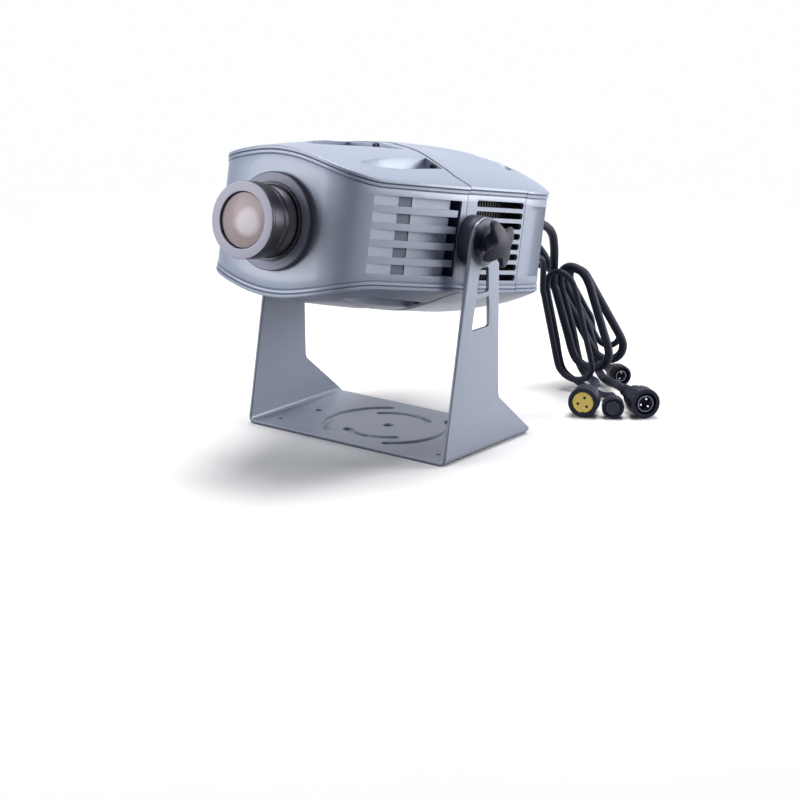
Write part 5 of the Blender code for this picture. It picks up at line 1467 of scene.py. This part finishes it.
@dataclass
class Bracket:
    """Bent sheet bracket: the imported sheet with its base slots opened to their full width."""

    centre: tuple[float, float] = (0.0, 14.0)
    # radius, width, start and end in degrees
    slots: tuple[tuple[float, float, float, float], ...] = (
        (59.6, 8.6, 124.0, 230.0), (59.6, 8.6, -56.0, 50.0), (41.0, 8.0, 236.0, 317.0),
        (41.0, 8.0, 56.0, 137.0))
    # radius, half width and angle of the round head
    head: tuple[float, float, float] = (41.0, 5.6, 238.0)
    # levels between which the cutters stand
    cut: tuple[float, float] = (-2.0, 8.0)

    def slot(self, radius: float, width: float, start: float, end: float) -> Skin:
        """Round-ended slot along an arc.

        The outline is the outer arc, a half circle of half the width about the arc's end, the
        inner arc backwards and a half circle about its start.

        Args:
            radius: radius of the slot's middle line.
            width: its width.
            start: where the middle line starts, in degrees.
            end: where it ends.

        Returns:
            The cutter.
        """
        run = np.radians(np.linspace(start, end, 40))
        half = width / 2.0
        bend = np.linspace(0.0, math.pi, 12)[1:-1]
        arcs = [np.column_stack([r * np.cos(a), r * np.sin(a)])
                for r, a in ((radius + half, run), (radius - half, run[::-1]))]
        caps = [radius * np.array([math.cos(a), math.sin(a)])
                + half * np.column_stack([np.cos(a + turn + bend), np.sin(a + turn + bend)])
                for a, turn in ((run[-1], 0.0), (run[0], math.pi))]
        outline = np.concatenate([arcs[0], caps[0], arcs[1], caps[1]]) + np.array(self.centre)
        return prism(outline, Axis.Z, *self.cut)

    def build(self, node: bpy.types.Object) -> None:
        """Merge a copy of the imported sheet, open its slots and add the round head of one.

        Args:
            node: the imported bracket.
        """
        mesh = node.data.copy()
        merge(mesh, NODE_MERGE)
        item = bpy.data.objects.new("floor_bracket", mesh)
        bpy.context.scene.collection.objects.link(item)
        radius, round_half, turn = self.head
        spot = (self.centre[0] + radius * math.cos(math.radians(turn)),
                self.centre[1] + radius * math.sin(math.radians(turn)), 0.0)
        tools = [self.slot(*slot) for slot in self.slots]
        tools.append(rod(round_half, *self.cut, 32, Axis.Z, spot))
        carve(item, tools, space=Space.FLOOR)
        item.data.materials.clear()
        item.data.materials.append(SHEET_PAINT.material())
        # keeps the flats flat beside the rounded bends
        level = item.modifiers.new("flat_normals", "WEIGHTED_NORMAL")
        level.keep_sharp = True
        level.weight = 100
        finish_piece(item, Body.BRACKET, "painted_steel", "yoke_bracket")


@dataclass
class Pivots:
    """Four-lobed knobs on their washers, and the round bosses between housing and bracket."""

    knob_radius: float = 25.0
    knob_turn: float = math.radians(25.0)
    knob_collar: float = 8.5
    knob_crown: float = 21.5
    knob_fall: float = 6.5
    # share of the star, share of the collar, height added, share of the dome's height
    knob_rows: tuple[tuple[float, float, float, float], ...] = (
        (0.0, 0.0, 1.3, 0.0), (0.0, 0.93, 1.3, 0.0), (0.0, 1.0, 1.7, 0.0), (0.0, 1.0, 3.4, 0.0),
        (0.25, 0.75, 1.6, 0.33), (0.5, 0.5, -0.4, 0.57), (0.75, 0.25, -2.0, 0.79),
        (0.93, 0.07, -3.3, 0.95), (1.0, 0.0, -2.5, 1.0), (1.0, 0.0, -1.3, 1.0), (0.985, 0.0, -0.55, 1.0),
        (0.95, 0.0, -0.12, 1.0), (0.88, 0.0, 0.0, 1.0), (0.7, 0.0, 0.0, 1.0), (0.45, 0.0, 0.0, 1.0),
        (0.2, 0.0, 0.0, 1.0), (0.0, 0.0, 0.0, 1.0))
    washer_radius: float = 22.0
    washer: float = 1.1
    boss_radius: float = 23.0

    def knob(self, side: float, label: str) -> None:
        """Four-lobed knob with a domed face and a flank that draws in to a small collar.

        The star is R (0.74 + 0.26 cos 4a - 0.03 (1 - cos 8a)). A row's radius r is its share of the
        star plus its share of the collar; its height is its own plus its share of the dome
        crown - fall (r / R)^2.

        Args:
            side: 1 for the right one, -1 for the left one.
            label: right or left.
        """
        angle = around(160)
        rows = catmull(np.array(self.knob_rows), np.linspace(0.0, len(self.knob_rows) - 1.0, 65))
        star_share, collar_share, extra, dome_share = rows.T[:, :, None]
        star = 0.74 + 0.26 * np.cos(4.0 * angle) - 0.03 * (1.0 - np.cos(8.0 * angle))
        radius = np.maximum(self.knob_radius * star * star_share + self.knob_collar * collar_share, 0.0)
        dome = self.knob_crown - self.knob_fall * (radius / self.knob_radius) ** 2
        x = side * (BRACKET_HALF + GAP + extra + dome_share * dome)
        spot = angle + self.knob_turn
        grid = np.stack([x, radius * np.cos(spot), PIVOT_HEIGHT + radius * np.sin(spot)], axis=-1)
        item = new_object("clamp_knob_" + label, [skin(grid)], Space.FLOOR, [BLACK_PLASTIC], 60.0)
        finish_piece(item, "star_knob_" + label, "black_plastic", "star_knob_" + label)

    def disc_washer(self, side: float, label: str) -> None:
        """Thin disc under the knob, with its outer edge eased.

        Args:
            side: 1 for the right one, -1 for the left one.
            label: right or left.
        """
        near, far = BRACKET_HALF + 0.1, BRACKET_HALF + 0.1 + self.washer
        bore, rim = 4.6, self.washer_radius
        profile = [(bore, near), (rim, near), (rim, far - 0.4), (rim - 0.4, far), (bore, far)]
        centre = (0.0, 0.0, PIVOT_HEIGHT)
        body = turned([(r, side * a) for r, a in profile], 96, Axis.X, centre, ring=True)
        item = new_object("disc_washer_" + label, [body], Space.FLOOR, [WASHER])
        finish_piece(item, Body.BRACKET, "steel")

    def boss(self, side: float, label: str) -> None:
        """Round boss with eased edges and a fine parting groove.

        Args:
            side: 1 for the right one, -1 for the left one.
            label: right or left.
        """
        near = HALF_WIDTH + GAP
        far = BRACKET_HALF - 3.0 - GAP
        radius = self.boss_radius
        profile = [(4.6, near), (radius - 0.4, near), (radius, near + 0.4), (radius, far - 1.2),
                   (radius - 0.4, far - 0.4), (radius - 1.2, far), (4.6, far)]
        body = turned([(r, side * a) for r, a in profile], 96, Axis.X, ring=True)
        item = new_object("spacer_boss_" + label, [body], Space.HEAD, [BOSS_PLASTIC])
        finish_piece(item, Body.HEAD, "black_plastic", "pivot_boss_" + label)

    def build(self) -> None:
        """Make both sides."""
        for side, label in ((1.0, "right"), (-1.0, "left")):
            self.knob(side, label)
            self.disc_washer(side, label)
            self.boss(side, label)


# Rear panel


@dataclass
class Gland:
    """Chromed cable gland: hexagon body, threaded neck, hexagon nut with a domed end and a seal."""

    name: str
    x: float
    z: float
    thread: float
    corner: float
    cord: float

    def build(self) -> None:
        """Make the body and the nut with its rubber seal."""
        panel = REAR_FACE + GAP
        centre = (self.x, 0.0, self.z)
        angle = around(72)
        flats = hexagon(angle, self.corner)
        cham = self.corner * 0.93
        neck = self.thread - 1.2
        body = turned([(0.0, panel - 10.0), (neck, panel - 10.0), (neck, panel), (cham, panel),
                       (self.corner, panel + 0.8), (self.corner, panel + 4.2), (cham, panel + 5.0),
                       (self.thread, panel + 5.0), (self.thread, panel + 12.0), (0.0, panel + 12.0)],
                      72, centre=centre, limit=flats)
        item = new_object("gland_base_" + self.name, [body], Space.HEAD, [NICKEL], 30.0)
        finish_piece(item, Body.HEAD, "nickel_plate", "gland_body_" + self.name)
        start = panel + 5.0 + GAP
        corner = 0.93 * self.corner
        mouth = self.cord / 2.0 + 1.6
        dome = corner * 0.86
        bore = self.thread + GAP
        nut = turned([(bore, start), (corner * 0.93, start), (corner, start + 0.7),
                      (corner, start + 7.2), (corner * 0.93, start + 8.0), (dome, start + 8.0),
                      (dome, start + 10.0),
                      (dome - 0.5, start + 11.4), (dome - 1.6, start + 12.8),
                      (0.5 * (dome + mouth) + 0.6, start + 14.2), (mouth + 0.6, start + 15.6),
                      (mouth, start + 16.0), (mouth - 0.9, start + 15.4), (mouth - 0.9, start + 8.0),
                      (bore, start + 7.3)], 72, centre=centre, ring=True, limit=hexagon(angle, corner))
        inner = self.cord / 2.0 + 0.15
        seal = turned([(inner, start + 13.6), (mouth - 1.0, start + 13.6), (mouth - 1.0, start + 15.2),
                       (inner + 0.3, start + 15.9), (inner, start + 15.6)], 48, centre=centre, ring=True,
                      finish=1)
        item = new_object("gland_cap_" + self.name, [nut, seal], Space.HEAD, [NICKEL, SEAL], 30.0)
        finish_piece(item, Body.HEAD, "nickel_plate", "gland_nut_" + self.name)


GLANDS = (
    Gland("power_out", 51.5, 17.0, 8.8, 12.7, 8.6), Gland("power_in", -51.5, 17.0, 8.8, 12.7, 8.6),
    Gland("signal_out", 51.5, -19.0, 6.6, 9.8, 6.2), Gland("signal_in", -51.5, -19.0, 6.6, 9.8, 6.2),
)


@dataclass
class RearPanel:
    """Display pane, trim and menu buttons on the rear panel, and the glands."""

    face: float = REAR_FACE + GAP + 1.6
    pane_middle: tuple[float, float] = (2.0, 10.5)
    holes: tuple[float, ...] = (-19.5, -6.5, 6.5, 19.5)
    button_height: float = -13.0

    def layered(self, half: tuple[float, float], radius: float, easing: float, low: float, high: float,
                finish: int) -> Skin:
        """Flat pane with eased edges: its outline up to a level, then a smaller one.

        Args:
            half: half sizes.
            radius: corner radius.
            easing: distance that the edge draws in by.
            low: lower level above the panel's face.
            high: upper level above the panel's face.
            finish: number of the finish.

        Returns:
            The closed skin.
        """
        outline = rounded_box(half, radius, self.pane_middle)
        less = (half[0] - easing, half[1] - easing)
        small = rounded_box(less, radius - easing / 2.0, self.pane_middle)
        rows = ((outline, low), (outline, high - 0.25), (small, high))
        rings = [level_ring(line, self.face + level) for line, level in rows]
        return skin(np.stack(rings), finish=finish)

    def display(self) -> None:
        """Unlit pane in a thin dark trim."""
        trim = self.layered((17.6, 11.0), 1.4, 0.4, 0.02, 0.4, 0)
        pane = self.layered((16.0, 9.4), 0.6, 0.2, 0.38, 0.65, 1)
        item = new_object("display_pane", [trim, pane], Space.HEAD, [OVERLAY, PANE])
        finish_piece(item, Body.HEAD, "black_overlay")

    def buttons(self) -> None:
        """Round domed buttons."""
        tip = self.face + 1.0
        for number, x in enumerate(self.holes, 1):
            profile = [(0.0, 137.2), (3.5, 137.2), (3.5, tip - 0.7), (3.3, tip - 0.3), (2.7, tip - 0.05),
                       (1.6, tip), (0.0, tip)]
            body = turned(profile, 40, centre=(x, 0.0, self.button_height))
            item = new_object(f"round_button_{number}", [body], Space.HEAD, [BUTTON])
            finish_piece(item, f"menu_button_{number}", "grey_button", f"menu_button_{number}")

    def build(self) -> None:
        """Make the panel's pieces."""
        self.display()
        self.buttons()
        for gland in GLANDS:
            gland.build()


# Connectors and cords


class Contacts(Enum):
    """What shows in a connector's face."""

    HOLES = "holes"
    PINS = "pins"


@dataclass
class Connector:
    """Waterproof connector that lies on the floor."""

    name: str
    face: Place
    aim: Place
    large: bool
    depth: float
    contacts: Contacts
    insert: Finish
    count: int = 3
    grip: float = 0.012

    def outline(self) -> list[tuple[float, float]]:
        """Outline as (distance behind the face, radius), with the ribbed relief at its tail.

        Returns:
            The points, from the face to the tail.
        """
        if self.large:
            body = [(0.0, 15.0), (17.0, 15.0), (18.0, 11.4), (30.0, 11.4), (33.0, 8.4)]
        else:
            body = [(0.0, 11.0), (12.5, 11.0), (13.3, 8.2), (22.0, 8.2), (24.4, 6.2)]
        rib, thick, thin = (5.2, 7.4, 5.6) if self.large else (4.2, 5.5, 4.2)
        start = body[-1][0]
        for index in range(4):
            wide = thick * (1.0 - 0.05 * index)
            body += [(start + rib * (index + 0.12), wide), (start + rib * (index + 0.5), wide),
                     (start + rib * (index + 0.62), thin), (start + rib * (index + 1.0), thin)]
        return body

    def tail(self) -> tuple[np.ndarray, np.ndarray]:
        """Middle of the tail face and the direction in which the cord leaves."""
        away = np.array(self.aim) / np.linalg.norm(self.aim)
        return np.array(self.face) + away * self.outline()[-1][0], away

    def place(self, local: np.ndarray) -> np.ndarray:
        """Local points (across, up, behind the face) at the connector's place on the floor.

        Args:
            local: one point to a row.

        Returns:
            The points in the floor's frame.
        """
        away = np.array(self.aim) / np.linalg.norm(self.aim)
        side = np.cross(away, (0.0, 0.0, 1.0))
        side /= np.linalg.norm(side)
        up = np.cross(side, away)
        return np.array(self.face) + local @ np.stack([side, up, away])

    def put(self, part: Skin) -> Skin:
        """The skin moved from local coordinates to the floor."""
        return Skin(self.place(part.points), part.faces, part.finish)

    def shell(self) -> Skin:
        """Body with a grip whose radius is r (1 - k + k cos n a) on the coupling's rear part.

        Returns:
            The closed skin in local coordinates.
        """
        socket = 11.0 if self.large else 8.4
        outline = self.outline()
        (_, wide), (end, _) = outline[0], outline[1]
        rows = [(0.0, self.depth), (socket - 0.4, self.depth), (socket, self.depth - 0.4), (socket, 0.5),
                (socket + 0.5, 0.0), (wide - 0.9, 0.0), (wide - 0.1, 0.7), (wide, 3.6),
                (wide - 0.5, 3.9), (wide - 0.5, 4.6), (wide, 4.9), (wide, end - 0.8), (wide - 0.7, end)]
        rows += [(r, d) for d, r in outline[2:]] + [(0.0, outline[-1][0])]
        angle = around(96)
        radius, along = np.array(rows).T[:, :, None]
        teeth = 24 if self.large else 18
        held = ((along > 4.8) & (along < end)) * self.grip
        radius = radius * (1.0 - held + held * np.clip(1.5 * np.cos(teeth * angle), -1.0, 1.0))
        along = along * np.ones_like(angle)
        return skin(on_axis(radius * np.cos(angle), radius * np.sin(angle), along, Axis.Z), caps=False)

    def spots(self, ring: float) -> list[tuple[float, float]]:
        """Places of the contacts on a ring, the first one up."""
        turns = np.linspace(0.0, 2.0 * math.pi, self.count, endpoint=False) + math.radians(75.0)
        return [(ring * math.cos(a), ring * math.sin(a)) for a in turns]

    def face_parts(self) -> list[Skin]:
        """Insert, its key and its contacts; on a face with holes, the holes and the key are dark pieces
        of painted shade.

        Returns:
            Their skins in local coordinates.
        """
        size = 1.0 if self.large else 0.72
        parts: list[Skin] = []
        if self.contacts is Contacts.HOLES:
            radius = 10.4 * size if self.large else 7.6
            parts.append(turned([(0.0, self.depth - 0.2), (radius, self.depth - 0.2), (radius, 0.9),
                                 (radius - 0.5, 0.4), (0.0, 0.4)], 48, Axis.Z, finish=1))
            hole, rise = 1.35 * size + 0.1, 0.32
            # dark discs of painted shade stand for the contact holes
            for x, y in self.spots(5.2 * size):
                parts.append(rod(hole, 0.9, rise, 20, Axis.Z, (x, y, 0.0), 3))
            # dark block of painted shade stands for the key
            parts.append(block((0.0, -radius + 0.7, 0.62), (2.2, 1.5, 0.6), 3))
        else:
            rim = 8.4 * size if self.large else 5.9
            parts.append(turned([(rim - 0.9, self.depth - 0.1), (rim, self.depth - 0.1), (rim, 1.4),
                                 (rim - 0.3, 1.1), (rim - 0.9, 1.1)], 48, Axis.Z, ring=True, finish=1))
            pin = 1.15 * size + 0.1
            for x, y in self.spots(4.4 * size):
                parts.append(turned([(0.0, self.depth - 0.1), (pin, self.depth - 0.1), (pin, 3.0),
                                     (0.6 * pin, 2.4), (0.0, 2.3)], 20, Axis.Z, (x, y, 0.0), finish=2))
            parts.append(block((0.0, rim - 1.8, 5.0), (1.6, 1.4, 7.0), 1))
        return parts

    def build(self) -> bpy.types.Object:
        """Make the connector.

        Returns:
            The finished piece.
        """
        skins = [self.put(part) for part in [self.shell(), *self.face_parts()]]
        finishes = [BLACK_PLASTIC, self.insert, PIN, DARK]
        item = new_object("coupling_" + self.name, skins, Space.FLOOR, finishes)
        return finish_piece(item, Body.BRACKET, "black_plastic", "connector_" + self.name)


# place of the hank's top and its two directions, points and turns of a loop, and its spread
HANK_TOP = np.array([0.0, 212.0, 148.0])
HANK_DOWN = np.array([0.0, 0.187, -0.982])
HANK_BACK = np.array([0.0, 0.982, 0.187])
LOOP_POINTS = 24
HANK_START = 0.12
HANK_END = 1.3
HANK_FLARE = 0.12
GLAND_MOUTH = REAR_FACE + GAP + 5.0 + GAP + 16.0


def head_point(x: float, y: float, z: float) -> np.ndarray:
    """World place in millimetres of a point in the head's frame."""
    return to_world(np.array([[x, y, z]]), Space.HEAD)[0] / MM


def racetrack(turns: float, half_width: float, half_length: float) -> tuple[float, float]:
    """Place on a long oval after so many turns from its top, as (across, down).

    Args:
        turns: whole turns and their rest.
        half_width: half the oval's width.
        half_length: half its length.

    Returns:
        The place from the oval's middle.
    """
    side = 2.0 * (half_length - half_width)
    bend = math.pi * half_width
    along = (turns % 1.0) * 2.0 * (side + bend) - bend / 2.0
    if along < 0.0:
        angle = along / half_width
        return -half_width * math.cos(angle), half_width * math.sin(angle) - side / 2.0
    if along > 2.0 * side + bend:
        angle = (along - 2.0 * side - bend) / half_width
        return half_width * math.cos(angle), -half_width * math.sin(angle) - side / 2.0
    if along < side:
        return -half_width, along - side / 2.0
    if along < side + bend:
        angle = (along - side) / half_width
        return -half_width * math.cos(angle), side / 2.0 + half_width * math.sin(angle)
    return half_width, side / 2.0 - (along - side - bend)


@dataclass
class Cord:
    """One cord: from its gland through the hanging hank to its connector on the floor."""

    connector: Connector
    gland: Gland
    length: float
    middle: tuple[float, float]
    size: tuple[float, float]
    lean: float
    back: float
    lead: tuple[Place, ...]
    tail: tuple[Place, ...]
    # y and z of a still point on the cord
    still: tuple[float, float]
    spacing: float = 2.5
    sides: int = 20

    def loops(self) -> list[np.ndarray]:
        """Points round the hank's oval, one layer deeper for each turn.

        Returns:
            The points in millimetres.
        """
        pitch = self.gland.cord + 1.0
        count = round((HANK_END - HANK_START) * LOOP_POINTS)
        tilt = math.radians(self.lean)
        points = []
        for step in range(count + 1):
            turned_by = (HANK_END - HANK_START) * step / count
            across, down = racetrack(HANK_START + turned_by, *self.size)
            across *= 1.0 + HANK_FLARE * down / self.size[1]
            right = self.middle[0] + across * math.cos(tilt) + down * math.sin(tilt)
            low = self.middle[1] + down * math.cos(tilt) - across * math.sin(tilt)
            points.append(HANK_TOP + np.array([right, 0.0, 0.0]) + low * HANK_DOWN
                          + (self.back + pitch * turned_by) * HANK_BACK)
        return points

    def route(self) -> np.ndarray:
        """Evenly spaced points of the whole cord, whose two ends are exactly straight.

        Returns:
            One point to a row, from the gland to the connector.
        """
        cord = self.gland.cord
        start = [head_point(self.gland.x, GLAND_MOUTH + reach, self.gland.z)
                 for reach in (GAP, GAP + cord)]
        loops = self.loops()
        heading = (loops[1] - loops[0]) / np.linalg.norm(loops[1] - loops[0])
        face, away = self.connector.tail()
        controls = [*start, *(np.array(p) for p in self.lead), loops[0] - heading * (cord + GAP), *loops,
                    *(np.array(p) for p in self.tail), face + away * (cord + GAP), face + away * GAP]
        points = even_curve(np.array(controls), self.spacing)
        near = np.linalg.norm(points - controls[0], axis=1) > cord + 1.0
        far = np.linalg.norm(points - controls[-1], axis=1) > cord + 1.0
        return np.vstack([controls[0], controls[1], points[near & far], controls[-2], controls[-1]])

    def tube(self, route: np.ndarray) -> Skin:
        """Round section carried along the route.

        Each ring is the centre plus r (n cos a + b sin a). The normal n is carried from ring to
        ring and made square to the tangent again, so the tube doesn't twist.

        Args:
            route: points of the cord's middle line.

        Returns:
            The closed skin.
        """
        tangent = np.gradient(route, axis=0)
        tangent /= np.linalg.norm(tangent, axis=1, keepdims=True)
        normals = []
        normal = np.cross(tangent[0], (0.0, 0.0, 1.0))
        for direction in tangent:
            normal = normal - direction * np.dot(normal, direction)
            normal = normal / np.linalg.norm(normal)
            normals.append(normal)
        normals = np.array(normals)
        side = np.cross(tangent, normals)
        angle = around(self.sides)
        ring = normals[:, None] * np.cos(angle)[:, None] + side[:, None] * np.sin(angle)[:, None]
        return skin(route[:, None] + ring * self.gland.cord / 2.0)

    def build(self, plug: bpy.types.Object) -> None:
        """Args:
            plug: the connector on its end; not used.
        """
        name = self.gland.name
        route = self.route()
        item = new_object("flex_" + name, [self.tube(route)], Space.FLOOR, [RUBBER], 60.0)
        start = route[0]
        end = np.array([start[0], *self.still])
        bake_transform(item)
        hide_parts(f"cord_{name}_lead", f"cord_{name}_hank")
        measured = np.linalg.norm(np.diff(route, axis=0), axis=1).sum() * MM
        log.info("flex_%s: %.3f m along its route", name, measured)


def make_cords() -> None:
    """Make the connectors and the four cords."""
    power_out, power_in, signal_out, signal_in = GLANDS
    holes, pins = Contacts.HOLES, Contacts.PINS
    cords = (
        Cord(Connector("power_out", (127.0, 162.0, 15.3), (-0.36, 0.93, 0.0), True, 3.0, holes, YELLOW),
             power_out, 0.551, (70.0, 78.0), (20.0, 54.0), 14.0, 18.0,
             ((50.5, 212.0, 170.0), (47.5, 227.0, 150.0)),
             ((58.0, 267.0, 24.0), (69.0, 265.0, 12.0), (84.0, 252.0, 12.0), (96.0, 237.0, 15.0)),
             (230.0, 150.0)),
        Cord(Connector("power_in", (177.5, 197.5, 15.3), (-0.8, 0.6, 0.0), True, 11.0, pins, SHROUD),
             power_in, 0.594, (68.0, 83.0), (17.5, 51.0), 30.0, 40.0,
             ((-47.0, 203.0, 174.5), (-20.0, 233.0, 160.0), (12.0, 252.0, 141.0)),
             ((64.0, 288.0, 32.0), (70.0, 284.0, 17.0), (88.0, 268.0, 11.0), (112.0, 250.0, 13.0)),
             (236.0, 150.0)),
        Cord(Connector("signal_out", (153.0, 176.0, 11.3), (-0.53, 0.85, 0.0), False, 3.0, holes,
                       BOSS_PLASTIC),
             signal_out, 0.55, (63.5, 81.5), (19.0, 58.0), 9.0, 1.0,
             ((50.5, 190.0, 145.0), (48.0, 206.0, 137.0)),
             ((51.0, 247.0, 20.0), (66.0, 254.0, 6.0), (88.0, 245.0, 4.2), (108.0, 232.0, 5.0)),
             (212.0, 127.0)),
        Cord(Connector("signal_in", (98.0, 286.0, 11.3), (-0.8, 0.6, 0.0), False, 9.0, pins, SHROUD, 2),
             signal_in, 0.492, (58.0, 84.0), (13.0, 44.0), 30.0, 61.0,
             ((-50.0, 182.0, 146.0), (-37.0, 215.0, 136.0), (-12.0, 250.0, 125.0),
              (12.0, 272.0, 115.0)),
             ((50.0, 307.0, 44.0), (42.0, 320.0, 24.0), (48.0, 322.0, 13.0)), (240.0, 128.0)),
    )
    for cord in cords:
        cord.build(cord.connector.build())


def main() -> None:
    """Load the frame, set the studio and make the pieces."""
    logging.basicConfig(level=logging.INFO, format="%(message)s")
    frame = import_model()
    Studio().build()
    make_cords()
    dress_nodes(frame["nodes"])
    Bracket().build(frame["nodes"]["yoke_bracket"])
    for assembly in (Housing(), Objective(), Pivots(), RearPanel()):
        assembly.build()


if __name__ == "__main__":
    main()
